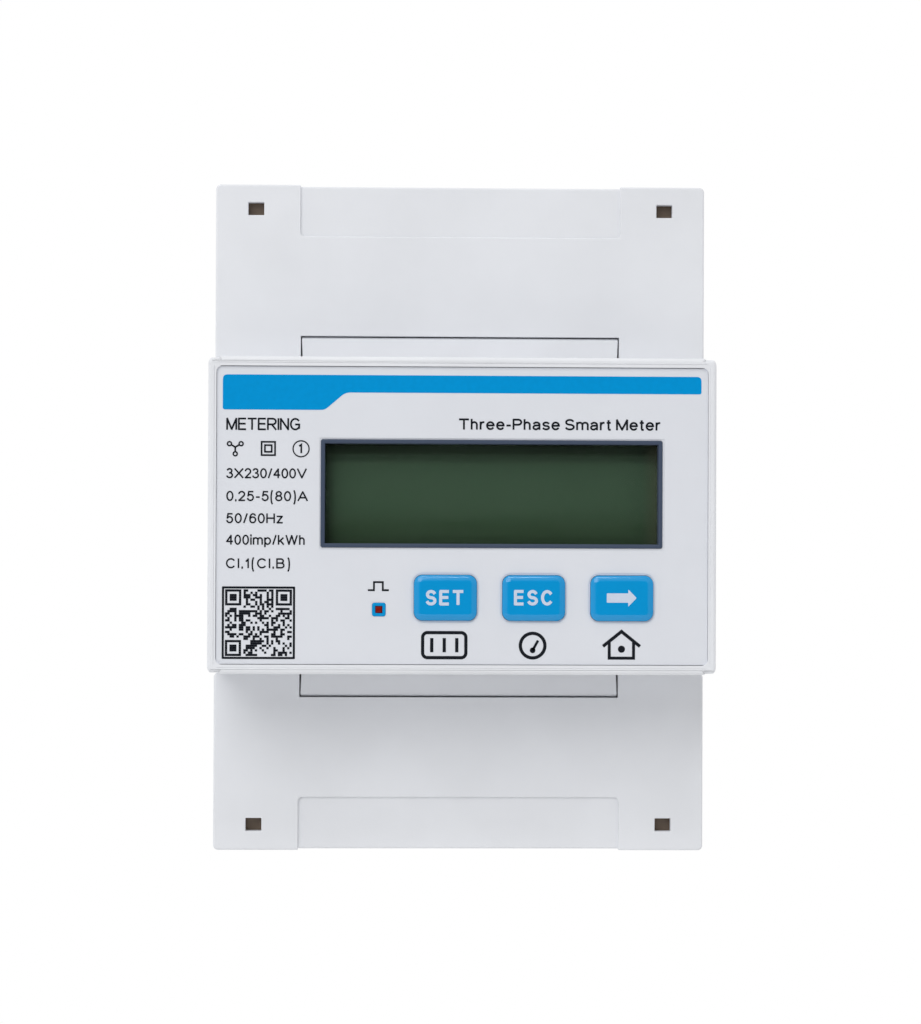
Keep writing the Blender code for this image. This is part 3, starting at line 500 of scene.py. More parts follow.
board_green = solder_mask("board_green")
laminations = rolled("core_laminations", (0.12, 0.11, 0.10), 0.45, (200.0, 200.0, 5200.0))
can_sleeve = glossy("capacitor_sleeve", (0.05, 0.06, 0.16), 0.25)
disc_epoxy = glossy("varistor_epoxy", (0.02, 0.12, 0.35), 0.35)
print("finishes made:", len(bpy.data.materials))


# %% [markdown]
# # The shells
# Every moulded edge is a little round, because a mould can't be filled into a perfectly sharp corner,
# and that thin rounding is what catches the light. A Bevel modifier on a merged copy of the model's
# piece does it. Its weights keep the wide rounding to the outer edges and a fine one elsewhere.

# %% Rear case and middle housing
case_low, case_high = span("rear_case")
HALF_X, HALF_Z = case_high[0], case_high[2]


def outer(middles, half_x, half_z, inner=0.3, band=0.4):
    """1 for edges within a band of the outline's half sizes, and a smaller share for those inside."""
    near_side = np.abs(np.abs(middles[:, 0]) - half_x) < band
    near_end = np.abs(np.abs(middles[:, 2]) - half_z) < band
    return np.where(near_side | near_end, 1.0, inner)


softened("rear_case", 0.35, housing, "rear_case_moulding", lambda m: outer(m, HALF_X, HALF_Z, 0.4))
middle_low, middle_high = span("middle_housing")


LEDGE_SIDE, LEDGE_END, FINER_SLOPE = 0.17, 0.15, 0.3


def wider(points):
    """The ledges' sides and ends go out by these widths, which leaves a finer gap to the terminal
    covers, and the sloping edge at their ends is made half as wide."""
    across, height = np.abs(points[:, 0]), np.abs(points[:, 2])
    ledge = (height > 22.4) & (across > 22.5) & (across < 23.3)
    end, slope = height > 25.5, height > 26
    points[ledge, 0] += np.sign(points[ledge, 0]) * LEDGE_SIDE
    points[end, 2] += np.sign(points[end, 2]) * LEDGE_END
    face = end & ~slope
    points[face, 2] += np.sign(points[face, 2]) * FINER_SLOPE
    points[slope & (points[:, 1] < -43), 1] -= FINER_SLOPE


softened("middle_housing", 0.2, housing, "middle_housing_moulding",
         lambda m: outer(m, HALF_X, middle_high[2], 0.6), wider)
print("case", (case_high - case_low).round(1), "mm")

# %% [markdown]
# The front cover has a raised border round the printed panel. Its outermost edge is the roundest of
# all, about half a millimetre. Near the four corners the border has a fine parting line where two
# inserts of the mould meet. The line is left out of the mesh, where it would spoil the rounding, and
# is drawn into the surface by the material instead.

# %% Front cover
cover_low, cover_high = span("front_cover")
border = cover_high[0] - panel_high[0]


def level(points):
    """Points within a third of a millimetre behind the front, near the sides, come up to the front."""
    rim = (np.abs(points[:, 0]) > cover_high[0] - 2.5) & (points[:, 1] < cover_low[1] + 0.35)
    points[rim, 1] = cover_low[1]


def front_edges(middles):
    """All of the width on the outer front edge, a tenth in the panel's seat, a quarter elsewhere."""
    front = middles[:, 1] < cover_low[1] + 0.1
    outline = ((np.abs(middles[:, 0]) > cover_high[0] - 0.6)
               | (np.abs(middles[:, 2]) > cover_high[2] - 0.6))
    seat = ~front & ~outline & (middles[:, 1] < cover_low[1] + 3)
    return np.where(front & outline, 1.0, np.where(seat, 0.1, 0.25))


def parted(name, base, seam):
    """The housing's plastic with a step of bump at x = seam on both sides: the surface outside it
    seems to lie a trifle lower, which shades a line there."""
    material = base.copy()
    material.name = name
    nodes_of = material.node_tree.nodes
    where = next(node for node in nodes_of if node.type == "TEX_COORD").outputs["Object"]
    net = Network(material.node_tree, where)
    side = net.add("Math", {0: net.along("X")}, operation="ABSOLUTE")
    step = net.between(side, 0.0, 1.0, (seam - 0.06) * MM, (seam + 0.06) * MM)
    normal = nodes_of["Principled BSDF"].inputs["Normal"]
    under = {"Normal": normal.links[0].from_socket}
    net.put(normal, net.bump(step, 0.05, under, invert=True))
    return material


cover_finish = parted("front_cover_plastic", housing, cover_high[0] - 1.6)
softened("front_cover", 0.45, cover_finish, "front_cover_moulding", front_edges, level)
EDGE_IN = 0.22


def trimmed(points):
    """The film's upper and lower edges come in by EDGE_IN."""
    edge = np.abs(points[:, 2]) > panel_high[2] - 0.02
    points[edge, 2] -= np.sign(points[edge, 2]) * EDGE_IN


softened("panel_overlay", 0.06, film, "panel_overlay_sheet", settle=trimmed)
print("border", round(border, 2), "mm wide")

# %% [markdown]
# Each terminal cover is a thin lid with a shallow recess for a label at its end, and two small holes
# for the seal wire. The step of the recess is only 0.4 mm high, so its edges get the fine rounding.

# %% Terminal covers and blocks
SEAL_X, SEAL_Z = 30.1, 45.25
RECESS_X, RECESS_Z = 23.6, 41.2


def lid_edges(middles):
    """Full width at the recess's two inner corners, a third of it on the outline, an eleventh on the
    recess's upright steps, and an eighth elsewhere."""
    lid_high = span("upper_terminal_cover")[1]
    height = np.abs(middles[:, 2])
    across = np.abs(middles[:, 0])
    outline = (across > lid_high[0] - 0.3) | (height > lid_high[2] - 0.6)
    step = np.abs(across - RECESS_X) < 0.05
    corner = step & (np.abs(height - RECESS_Z) < 0.05)
    return np.select([corner, step, outline], [1.0, 0.09, 0.35], 0.12)


def upper_end(points):
    """The upper lid's two shoulders end 0.18 mm lower."""
    shoulder = (points[:, 2] > 48.9) | ((np.abs(points[:, 0]) > 24) & (points[:, 2] > 48.3))
    points[shoulder, 2] -= 0.18


def lower_end(points):
    """The lower lid's recess ends 0.2 mm lower."""
    recess = (points[:, 2] < -48.5) & (points[:, 2] > -48.7)
    points[recess, 2] -= 0.2


for side, end in (("upper", upper_end), ("lower", lower_end)):
    softened(f"{side}_terminal_cover", 0.8, cover_plastic, f"{side}_terminal_lid", lid_edges, end, 4,
             (-SEAL_X, SEAL_X))
    softened(f"{side}_terminal_block", 0.2, block_plastic, f"{side}_terminal_moulding",
             lambda m: outer(m, HALF_X, HALF_Z, 0.5))
softened("signal_terminal_block", 0.15, block_plastic, "signal_terminal_moulding")
softened("rail_clip", 0.25, clip_plastic, "rail_clip_moulding")
print("shells:", len(made))

# %% [markdown]
# Behind each seal hole stands a brown post, to which the cover is sealed. It belongs to the terminal
# block, so the cover lifts away from it.

# %% Seal posts
post_resin = moulded("seal_post_resin", (0.22, 0.163, 0.118), 0.5, grain=0.3, depth=0.01, cloud=0.08)
for side, up_way in (("upper", 1), ("lower", -1)):
    lid_front, block_front = span(f"{side}_terminal_cover")[0][1], span(f"{side}_terminal_block")[0][1]
    posts = []
    front_y = lid_front + 1.9
    for x in (-SEAL_X, SEAL_X):
        profile = [(0.0, block_front + 0.1), (0.0, front_y + 0.25), (0.07, front_y + 0.07),
                   (0.25, front_y)]
        middle = np.array([x, up_way * SEAL_Z])
        posts.append(skin(lofted(middle, (1.9, 1.6), 0.5, profile, 32)))
    piece(f"{side}_seal_posts", joined(*posts), post_resin, "housing", "block_grey")


# %% [markdown]
# # The keys
# Each key is one moulding: a thin flange that stays behind the panel and keeps it from falling out, a
# straight body, and a face whose edge falls away over nearly a millimetre. The fall meets the flat
# face at a slight angle, which gives the highlight on top its crisp inner line. It is one loft.

# %% Key loft
KEY_EDGE, FALL, KEY_CORNER, FLANGE = 0.78, 0.14, 1.25, 0.7


def key_profile(face, flange_front, flange_back):
    """(inset, y) from the flange's back to the middle of the face. Across the edge's width the slope
    grows evenly from 9 to 32 degrees, so the drop is a parabola; a quarter circle as wide as FALL
    takes it on to the wall."""
    away = np.linspace(0, 1, 7)
    first, last = math.tan(math.radians(9)), math.tan(math.radians(32))
    drop = KEY_EDGE * (first * away + (last - first) * away ** 2 / 2)
    turn = np.linspace(0, math.pi / 2, 5)[:-1]
    edge = [(FALL + KEY_EDGE * (1 - t), face + d) for t, d in zip(away, drop)][::-1]
    foot = [(FALL * (1 - math.cos(t)), face + drop[-1] + FALL * (1.2 - math.sin(t))) for t in turn]
    back = [(-FLANGE, flange_back), (-FLANGE, flange_front), (0.0, flange_front - 0.1)]
    inner = [(FALL + KEY_EDGE + step, face) for step in (0.05, 0.9, 1.7, 2.15)]
    return back + foot + edge + inner


def key(name, node):
    low, high = span(node)
    middle, half = front_view(node)
    half = half - FLANGE
    grid = lofted(middle, half, KEY_CORNER, key_profile(low[1], low[1] + 3.95, high[1]), 64)
    piece(name, skin(grid), key_rubber, home[node], slot_of[node], node, angle=16)
    return middle, half, low[1]


keys = {name: key(f"{name}_key_cap", f"{name}_key") for name in ("set", "escape", "arrow")}
print({name: (middle.round(2), half.round(2)) for name, (middle, half, _) in keys.items()})

# %% [markdown]
# The film of the panel is turned down into each opening, so that no dark slit shows round a key or
# round the display's frame. A collar of the film's own colour stands for that turned edge, a little
# below the surface and a hair's breadth from the key. The gap between the film and the border is
# filled by one of housing plastic, which stands level with the border instead.

# %% Collars
def collar(name, middle, half, corner, gap, inner, sunk, material, slot):
    """A band that fills a gap round a rounded rectangle, from the clearance inner to the gap's sharp
    outer corners. It lies sunk behind the panel's face, or before it where sunk is negative."""
    depth = (PANEL_Y + sunk, PANEL_Y + sunk + 0.6)
    outside = ring(*(half + gap + 0.03), 0.12)
    inside = ring(*(half + inner), corner)
    piece(name, hoop(outside + middle, inside + middle, depth), material, "housing", slot)


for label, (middle, half, _) in keys.items():
    collar(f"{label}_key_collar", middle, half, KEY_CORNER, 0.3, 0.05, 0.06, film, "panel_print")
panel_middle, panel_half = front_view("panel_overlay")
panel_half = panel_half - [0.0, EDGE_IN]
collar("panel_edge_collar", panel_middle, panel_half, 0.9, np.array([0.27, 0.27 + EDGE_IN]),
       np.array([0.05, 0.085]), -0.33, housing, "housing_white")

# %% [markdown]
# # The display
# A narrow dark frame is pressed into the panel, with rounded edges in front. It is a band that closes
# on itself: the profile goes up the outer wall, over the front and down the inner wall. The clear
# pane, the liquid-crystal glass and the light guide lie behind it in that order.

# %% Display frame, pane and glass
frame_low, frame_high = window_low[[0, 2]] - [0.14, 0.0], window_high[[0, 2]] + [0.0, 0.12]
frame_middle, frame_half = (frame_low + frame_high) / 2, (frame_high - frame_low) / 2
FRAME_BORDER, front = 0.6, window_low[1]
frame_profile = [(0.0, window_high[1]), (0.0, front + 0.14), (0.05, front + 0.04), (0.15, front),
                 (FRAME_BORDER - 0.15, front), (FRAME_BORDER - 0.04, front + 0.05),
                 (FRAME_BORDER, front + 0.16), (FRAME_BORDER, window_high[1])]
band = lofted(frame_middle, frame_half, 0.32, frame_profile)
piece("display_bezel", skin(band, loop=True), frame_plastic, "housing", "frame_grey", "display_frame")
collar("display_collar", frame_middle, frame_half, 0.32, 0.3, 0.01, 0.08, film, "panel_print")
softened("display_pane", 0.1, pane_acrylic, "display_window")
softened("display_glass", 0.1, crystal, "display_cell")
softened("light_guide", 0.15, guide_acrylic, "display_light_guide")
print("window", (2 * (frame_half - FRAME_BORDER)).round(2), "mm")

# %% [markdown]
# The pulse lamp is a red light pipe in a blue rubber rim. The pipe is wide behind the panel and
# narrow in the rim, with a slightly domed front, so that light from the diode is gathered in it.

# %% Pulse lamp
lamp_low, lamp_high = span("pulse_lens")
lamp_middle, lamp_half = front_view("pulse_lens")
RIM = 0.46
lens_front, lens_back, shoulder = lamp_low[1], lamp_high[1], lamp_low[1] + 2.9
rim_profile = [(0.0, shoulder - 0.05), (0.0, lens_front + 0.12), (0.1, lens_front),
               (RIM - 0.08, lens_front), (RIM, lens_front + 0.1), (RIM, shoulder - 0.05)]
pipe_profile = [(0.0, lens_back), (0.0, shoulder), (RIM + 0.03, shoulder),
                (RIM + 0.03, lens_front + 0.2), (RIM + 0.12, lens_front + 0.08),
                (RIM + 0.3, lens_front + 0.04), (RIM + 0.45, lens_front + 0.03)]
piece("lamp_rim", skin(lofted(lamp_middle, lamp_half, 0.35, rim_profile), loop=True), key_rubber,
      "housing", "key_blue")
piece("lamp_light_pipe", skin(lofted(lamp_middle, lamp_half, 0.35, pipe_profile)), lens_resin,
      "housing", "lens_red", "pulse_lens")
collar("lamp_collar", lamp_middle, lamp_half, 0.35, 0.3, 0.02, 0.05, film, "panel_print")
softened("pulse_diode", 0.2, diode_resin, "pulse_diode_body")
print("lamp", (2 * lamp_half).round(2), "mm at", lamp_middle.round(2))


# %% [markdown]
# # The print
# Screen-printed ink stands a few hundredths of a millimetre proud of the panel. Flat outlines are
# given that thickness and sunk a little into the panel. The words are general ones, and the square
# pattern is made of seeded random dots round three corner squares, so it holds no message.

# %% Outlines for print
INK = (PANEL_Y - 0.03, PANEL_Y + 0.02)


def rounded(points, radius, steps=6):
    """A polygon whose corners are cut by curves: with the corner P and the points A and B a radius
    away along its two sides, the curve is (1-t)^2 A + 2t(1-t) P + t^2 B."""
    corner = np.array(points, float)
    before, after = np.roll(corner, 1, 0) - corner, np.roll(corner, -1, 0) - corner
    reach = np.broadcast_to(radius, len(corner))[:, None]
    start = corner + before / np.linalg.norm(before, axis=1, keepdims=True) * reach
    end = corner + after / np.linalg.norm(after, axis=1, keepdims=True) * reach
    t = np.linspace(0, 1, steps)[None, :, None]
    curve = (1 - t) ** 2 * start[:, None] + 2 * t * (1 - t) * corner[:, None] + t ** 2 * end[:, None]
    return curve.reshape(-1, 2)


def stroke(points, width):
    """The outline of a pen's line: each point is moved half a width to both sides, along the mean
    normal of the two pieces that meet there, lengthened so that both pieces keep their width."""
    line = np.array(points, float)
    along = np.diff(line, axis=0)
    along /= np.linalg.norm(along, axis=1, keepdims=True)
    normal = np.stack([-along[:, 1], along[:, 0]], axis=1)
    mean = np.vstack([normal[:1], normal[:-1] + normal[1:], normal[-1:]])
    mean /= np.linalg.norm(mean, axis=1, keepdims=True)
    share = np.sum(mean * np.vstack([normal, normal[-1:]]), axis=1, keepdims=True)
    away = mean / share * width / 2
    return np.vstack([line + away, (line - away)[::-1]])


def boxes(left, right, bottom, top, y):
    """Many flat boxes at once, from arrays of their sides."""
    x = np.stack([left, right, right, left], 1)
    z = np.stack([bottom, bottom, top, top], 1)
    flat = np.stack([x, np.zeros_like(x), z], 2)
    points = np.stack([flat + [0, y[0], 0], flat + [0, y[1], 0]], 1).reshape(-1, 3)
    one = np.array([[0, 1, 2, 3], [7, 6, 5, 4], [0, 4, 5, 1], [1, 5, 6, 2], [2, 6, 7, 3], [3, 7, 4, 0]])
    return points, (one + 8 * np.arange(len(left))[:, None, None]).reshape(-1, 4).tolist()


print("ink stands", round(PANEL_Y - INK[0], 3), "mm proud")


# %% [markdown]
# The blue band along the top is one outline: deep on the left, then a slant up to a thin stripe.

# %% Blue band
BAND_LEFT, BAND_RIGHT, BAND_TOP = -33.95, 33.85, 19.85
BAND_DEEP, BAND_THIN = 14.9, 17.38
band_line = [(BAND_LEFT, BAND_TOP), (BAND_LEFT, BAND_DEEP), (-19.55, BAND_DEEP), (-16.64, BAND_THIN),
             (BAND_RIGHT, BAND_THIN), (BAND_RIGHT, BAND_TOP)]
blue_band = rounded(band_line, [0.65, 0.3, 0.5, 0.7, 0.3, 0.65])
piece("panel_blue_band", slab(blue_band, INK), blue_ink, "housing", "panel_print")


# %% [markdown]
# Letters are drawn as an engraver's pantograph draws them: a pen of constant width follows a
# skeleton of straight lines and arcs. A skeleton lies in a square from 0 to 1, and each letter has
# its own width, as a share of the height of its capitals. The gaps between the letters take up
# whatever room the line has left.

# %% Skeletons of the letters
def arc(x, z, rx, rz, first, last):
    """Points on an ellipse about (x, z) between two angles in degrees, about one every 15 degrees."""
    a = np.radians(np.linspace(first, last, max(3, int(abs(last - first) / 15) + 1)))
    return [(x + rx * c, z + rz * s) for c, s in zip(np.cos(a), np.sin(a))]


def legs(*points):
    """Separate straight strokes between neighbours, so that sharp corners don't run out to a spike."""
    return [list(pair) for pair in zip(points[:-1], points[1:])]


STEM, TOP, FOOT = [(0, 0), (0, 1)], [(0, 1), (1, 1)], [(0, 0), (1, 0)]
BOWL = [(0, 1)] + arc(0.6, 0.735, 0.4, 0.265, 90, -90) + [(0, 0.47)]
SNAKE = arc(0.5, 0.75, 0.46, 0.25, 25, 270) + arc(0.5, 0.25, 0.5, 0.25, 90, -158)[1:]
ARCH = arc(0.46, 0.45, 0.47, 0.27, 165, 0)
X_HIGH = 0.72
LETTERS = {
    "A": (0.90, legs((0, 0), (0.5, 1), (1, 0)) + [[(0.18, 0.33), (0.82, 0.33)]]),
    "B": (0.72, [STEM, [(0, 1)] + arc(0.56, 0.765, 0.36, 0.235, 90, -90) + [(0, 0.53)],
                 [(0, 0.53)] + arc(0.6, 0.265, 0.4, 0.265, 90, -90) + [(0, 0)]]),
    "C": (0.82, [arc(0.52, 0.5, 0.52, 0.5, 42, 318)]),
    "E": (0.70, [STEM, TOP, FOOT, [(0, 0.52), (0.93, 0.52)]]),
    "G": (0.86, [arc(0.52, 0.5, 0.52, 0.5, 42, 322), [(0.56, 0.47), (0.97, 0.47)],
                 [(0.97, 0.5), (0.97, 0.12)]]),
    "H": (0.76, [STEM, [(1, 0), (1, 1)], [(0, 0.52), (1, 0.52)]]),
    "I": (0.13, [[(0.5, 0), (0.5, 1)]]),
    "M": (0.90, legs((0, 0), (0, 1), (0.5, 0), (1, 1), (1, 0))),
    "N": (0.76, legs((0, 0), (0, 1), (1, 0), (1, 1))),
    "P": (0.72, [STEM, BOWL]),
    "R": (0.80, [STEM, BOWL, [(0.48, 0.47), (1, 0)]]),
    "S": (0.74, [SNAKE]),
    "T": (0.80, [TOP, [(0.5, 0), (0.5, 1)]]),
    "V": (0.90, legs((0, 1), (0.5, 0), (1, 1))),
    "W": (1.14, legs((0, 1), (0.25, 0), (0.5, 1), (0.75, 0), (1, 1))),
    "X": (0.86, [[(0, 0), (1, 1)], [(0, 1), (1, 0)]]),
    "a": (0.62, [arc(0.48, 0.49, 0.46, 0.23, 155, 0) + [(0.94, 0)],
                 [(0.94, 0.42)] + arc(0.38, 0.2, 0.38, 0.2, 90, 290) + [(0.94, 0.18)]]),
    "e": (0.64, [arc(0.5, 0.36, 0.5, 0.36, 0, 320), [(0, 0.38), (1, 0.38)]]),
    "h": (0.56, [STEM, ARCH + [(0.93, 0)]]),
    "i": (0.13, [[(0.5, 0), (0.5, X_HIGH)], [(0.5, 0.93), (0.5, 1.06)]]),
    "k": (0.60, [STEM, [(0, 0.25), (0.92, X_HIGH)], [(0.32, 0.42), (1, 0)]]),
    "l": (0.13, [[(0.5, 0), (0.5, 1)]]),
    "m": (0.94, [[(0, 0), (0, X_HIGH)]] + [arc(x, 0.48, 0.25, 0.24, 165, 0) + [(x + 0.25, 0)]
                                           for x in (0.25, 0.75)]),
    "p": (0.64, [[(0, -0.28), (0, X_HIGH)], arc(0.5, 0.36, 0.5, 0.36, 0, 360)]),
    "r": (0.38, [[(0, 0), (0, X_HIGH)], arc(0.85, 0.34, 0.85, 0.38, 170, 80)]),
    "s": (0.58, [[(x, z * X_HIGH) for x, z in SNAKE]]),
    "t": (0.36, [[(0.45, 0.94), (0.45, 0.12), (0.62, 0.0), (1, 0.0)], [(0, X_HIGH), (1, X_HIGH)]]),
    "z": (0.58, [[(0, X_HIGH), (1, X_HIGH)], FOOT, [(0.96, X_HIGH), (0.04, 0)]]),
    "0": (0.62, [arc(0.5, 0.5, 0.5, 0.5, 0, 360)]),
    "1": (0.36, [[(0.85, 0), (0.85, 1)], [(0.85, 0.98), (0.1, 0.72)]]),
    "2": (0.62, [arc(0.5, 0.71, 0.48, 0.29, 168, -35) + [(0.04, 0)], FOOT]),
    "3": (0.62, [arc(0.46, 0.765, 0.42, 0.235, 158, -90), arc(0.46, 0.265, 0.52, 0.265, 90, -160)]),
    "4": (0.66, [[(0.74, 0), (0.74, 1)], [(0.74, 0.98), (0, 0.3)], [(0, 0.3), (1, 0.3)]]),
    "5": (0.62, [legs((0.92, 1), (0.2, 1), (0.08, 0.5))[0], [(0.2, 1), (0.08, 0.5)],
                 arc(0.48, 0.33, 0.5, 0.33, 143, -160)]),
    "6": (0.62, [arc(0.5, 0.32, 0.5, 0.32, 0, 360), arc(0.54, 0.5, 0.54, 0.5, 42, 200)]),
    "8": (0.62, [arc(0.5, 0.765, 0.42, 0.235, 0, 360), arc(0.5, 0.265, 0.5, 0.265, 0, 360)]),
    "(": (0.28, [arc(1, 0.37, 1, 0.8, 110, 250)]),
    ")": (0.28, [arc(0, 0.37, 1, 0.8, 70, -70)]),
    "-": (0.38, [[(0, 0.38), (1, 0.38)]]),
    ".": (0.13, [[(0.5, -0.07), (0.5, 0.08)]]),
    "/": (0.40, [[(0, 0), (1, 1)]]),
    " ": (0.16, []),
}
print("letters in the case:", len(LETTERS))


# %% Lines of type
def line_of_type(name, text, left, right, base, height, pen, y=INK, ink=dark_ink, body="housing",
                 slot="panel_print", narrow=1.1):
    """Lays the letters from left to right, each drawn at its width with the pen's half width kept
    inside it, and spreads the room that is left evenly between them. Each stroke of a letter is a
    trace thicker than the last, so that no two faces coincide where they cross."""
    widths = np.array([LETTERS[c][0] for c in text]) * height * narrow
    gap = (right - left - widths.sum()) / (len(text) - 1)
    starts = left + np.cumsum(widths) - widths + gap * np.arange(len(text))
    strokes = []
    for letter, start, width in zip(text, starts, widths):
        room = np.array([max(width - pen, 0.001), height - pen])
        for layer, skeleton in enumerate(LETTERS[letter][1]):
            line = np.array(skeleton) * room + [start + pen / 2, base + pen / 2]
            ends = line[[0, -1]] - line[[1, -2]]
            line[[0, -1]] += ends / np.linalg.norm(ends, axis=1, keepdims=True) * pen * 0.3
            strokes.append(slab(stroke(line, pen), (y[0] - 0.003 * layer, y[1])))
    return piece(name, joined(*strokes), ink, body, slot, angle=20)


line_of_type("print_name", "METERING", -33.45, -23.0, 11.98, 1.76, 0.25, narrow=0.97)
line_of_type("print_title", "Three-Phase Smart Meter", -0.62, 28.05, 12.17, 1.62, 0.265, narrow=1.17)
RATINGS = (("3X230/400V", -22.05, 5.17, 1.07), ("0.25-5(80)A", -21.87, 1.95, 1.14),
           ("50/60Hz", -25.38, -1.19, 1.12), ("400imp/kWh", -22.26, -4.23, 1.05),
           ("Cl.1(Cl.B)", -24.36, -7.55, 1.14))
for row, (words, right, base, narrow) in enumerate(RATINGS, 1):
    line_of_type(f"print_rating_{row}", words, -33.4, right, base, 1.45, 0.215, narrow=narrow)
print("lines of type:", 2 + len(RATINGS))

# %% [markdown]
# The legends of the keys are pale ink on the rubber. They ride on the keys and go in with them.

# %% Key legends
def key_ink(name):
    face = keys[name][2]
    return (face - 0.03, face + 0.02)


line_of_type("legend_set", "SET", -5.2, 0.2, -12.68, 2.2, 0.43, key_ink("set"), pale_ink,
             "set_button", "key_blue", 0.94)
line_of_type("legend_escape", "ESC", 7.27, 12.8, -12.64, 2.2, 0.43, key_ink("escape"), pale_ink,
             "escape_button", "key_blue", 0.94)
tail, tip, axle, spread, shaft = 20.42, 24.65, -11.54, 1.23, 0.66
neck = tail + 0.72 * (tip - tail)
arrow_line = [(tail, axle + shaft), (tail, axle - shaft), (neck, axle - shaft), (neck, axle - spread),
              (tip, axle), (neck, axle + spread), (neck, axle + shaft)]
piece("legend_arrow", slab(rounded(arrow_line, 0.12, 4), key_ink("arrow")), pale_ink, "arrow_button",
      "key_blue")

# %% [markdown]
# The small symbols are drawn with a pen: a star of three windings, two squares one inside the other
# for double insulation, a ringed number, a pulse above the lamp, and three plain pictograms.

# %% Symbols
PEN = 0.24


def dot(x, z, radius, count=24):
    """A round outline: the centre plus the radius in evenly spaced directions."""
    angle = np.arange(count) * 2 * np.pi / count
    return np.stack([x + radius * np.cos(angle), z + radius * np.sin(angle)], axis=1)


def around(x, z, half_x, half_z, radius, width=PEN):
    """A frame line of a rounded rectangle about a centre."""
    centre = np.array([x, z])
    inner = ring(half_x - width, half_z - width, max(radius - width, 0.02)) + centre
    return hoop(ring(half_x, half_z, radius) + centre, inner, INK)


def circle(x, z, radius, width, count=24):
    """A ring line about a centre."""
    return hoop(dot(x, z, radius, count), dot(x, z, radius - width, count), INK)


def penned(points, width=PEN, y=INK):
    """A pen's line with the ink's thickness."""
    return slab(stroke(points, width), y)


hub, reach = np.array([-32.16, 9.58]), 0.95
arms = [np.array([math.cos(a), math.sin(a)]) for a in np.radians([150.0, 30.0, 270.0])]
star = [penned([hub - 0.05 * arm, hub + reach * 0.68 * arm]) for arm in arms]
star += [circle(*(hub + reach * arm), 0.39, 0.21) for arm in arms]
squares = [around(-27.5, 9.4, 1.07, 1.06, 0.05), around(-27.5, 9.4, 0.6, 0.59, 0.05)]
ringed = [circle(-22.88, 9.38, 1.22, 0.18, 40), penned([(-23.15, 9.75), (-22.85, 9.98), (-22.85, 8.75)])]
LOW_LINE, HIGH_LINE = -10.56, -9.42
pulse = [(-13.36, LOW_LINE), (-12.5, LOW_LINE), (-12.5, HIGH_LINE), (-11.25, HIGH_LINE),
         (-11.25, LOW_LINE), (-10.39, LOW_LINE)]
wave = [penned(pulse, 0.26)]
piece("print_symbols", joined(*star, *squares, *ringed, *wave), dark_ink, "housing", "panel_print")

BASE, TALL, BOLD = -20.3, 4.0, 0.46
rail = [around(-2.53, BASE + TALL / 2, 3.29, TALL / 2, 0.9, BOLD)]
rail += [penned([(x, BASE + 1.0), (x, BASE + 3.0)], BOLD) for x in (-4.3, -2.53, -0.76)]
DIAL = 9.98
dial = [circle(DIAL, BASE + 1.97, 1.97, BOLD, 48)]
dial += [penned([(DIAL, BASE + 1.3), (10.75, BASE + 2.7)], 0.36), slab(dot(DIAL, BASE + 1.3, 0.4), INK)]
roof = [(19.96, BASE + 1.9), (22.58, BASE + 4.0), (25.2, BASE + 1.9)]
walls = [(20.85, BASE + 2.5), (20.85, BASE + 0.23), (24.3, BASE + 0.23), (24.3, BASE + 2.5)]
house = [penned(roof, BOLD), penned(walls, BOLD - 0.04, (INK[0] + 0.002, INK[1]))]
house += [slab(dot(22.58, BASE + 1.5, 0.5), INK)]
piece("print_pictograms", joined(*rail, *dial, *house), dark_ink, "housing", "panel_print")


# %% [markdown]
# The square pattern has 29 by 29 cells. Each row's dark cells are joined into runs, and each run is
# one flat box, which needs a third of the faces that a box for each cell would.

# %% Square pattern
CELLS, SIDE, LOW_X, LOW_Z = 29, 9.42, -33.49, -19.92
dark = np.random.default_rng(7).random((CELLS, CELLS)) < 0.5
finder = np.ones((7, 7), bool)
finder[1:-1, 1:-1] = False
finder[2:-2, 2:-2] = True
for at in ((0, 0), (-8, 0), (-8, -8)):
    rows = slice(0, 8) if at[0] == 0 else slice(CELLS - 8, CELLS)
    columns = slice(0, 8) if at[1] == 0 else slice(CELLS - 8, CELLS)
    corner = np.zeros((8, 8), bool)
    corner[1 * (at[0] != 0):7 + (at[0] != 0), 1 * (at[1] != 0):7 + (at[1] != 0)] = finder
    dark[rows, columns] = corner
edge = np.diff(np.pad(dark, ((0, 0), (1, 1))).astype(int), axis=1)
row, start = np.nonzero(edge == 1)
end = np.nonzero(edge == -1)[1]
cell = SIDE / CELLS
runs = boxes(LOW_X + start * cell, LOW_X + end * cell, LOW_Z + row * cell, LOW_Z + (row + 0.97) * cell, INK)
frame_line = around(-28.78, -15.21, 5.16, 5.12, 0.12, 0.3)
piece("print_square_pattern", joined(runs, frame_line), dark_ink, "housing", "panel_print")
print("runs of dark cells:", len(row))


# %% [markdown]
# # Screws and spring
# A screw's thread and a coil spring are the same shape: a small outline carried along a helix. For
# the thread the outline is a triangle standing on the shank, for the spring it is the round wire.

# %% Helix
def wound(outline, start, rise, turns, steps):
    """An outline of (radius, height) points carried along a helix about its own axis: at the angle a,
    a point lies at (r cos a, r sin a) and at the height h + start + rise * a / (2 pi). The outline
    shrinks to a twentieth over the first and last third of a turn, so the ends run out."""
    a = np.linspace(0, 2 * np.pi * turns, steps)
    shape = np.array(outline, float)
    end = np.clip(np.minimum(a, a[-1] - a) / (2 * np.pi / 3), 0.05, 1)[:, None]
    foot = shape[:, 0].min()
    radius = foot + (shape[:, 0] - foot) * end
    height = shape[:, 1] * end + start + (rise * a / (2 * np.pi))[:, None]
    return radius * np.cos(a)[:, None], radius * np.sin(a)[:, None], height


# %% [markdown]
# The model's screws have plain shanks as wide as their threads. The copy's shank is drawn in to the
# thread's root, and the ridge is wound round it, so head, slot and length stay as they are.

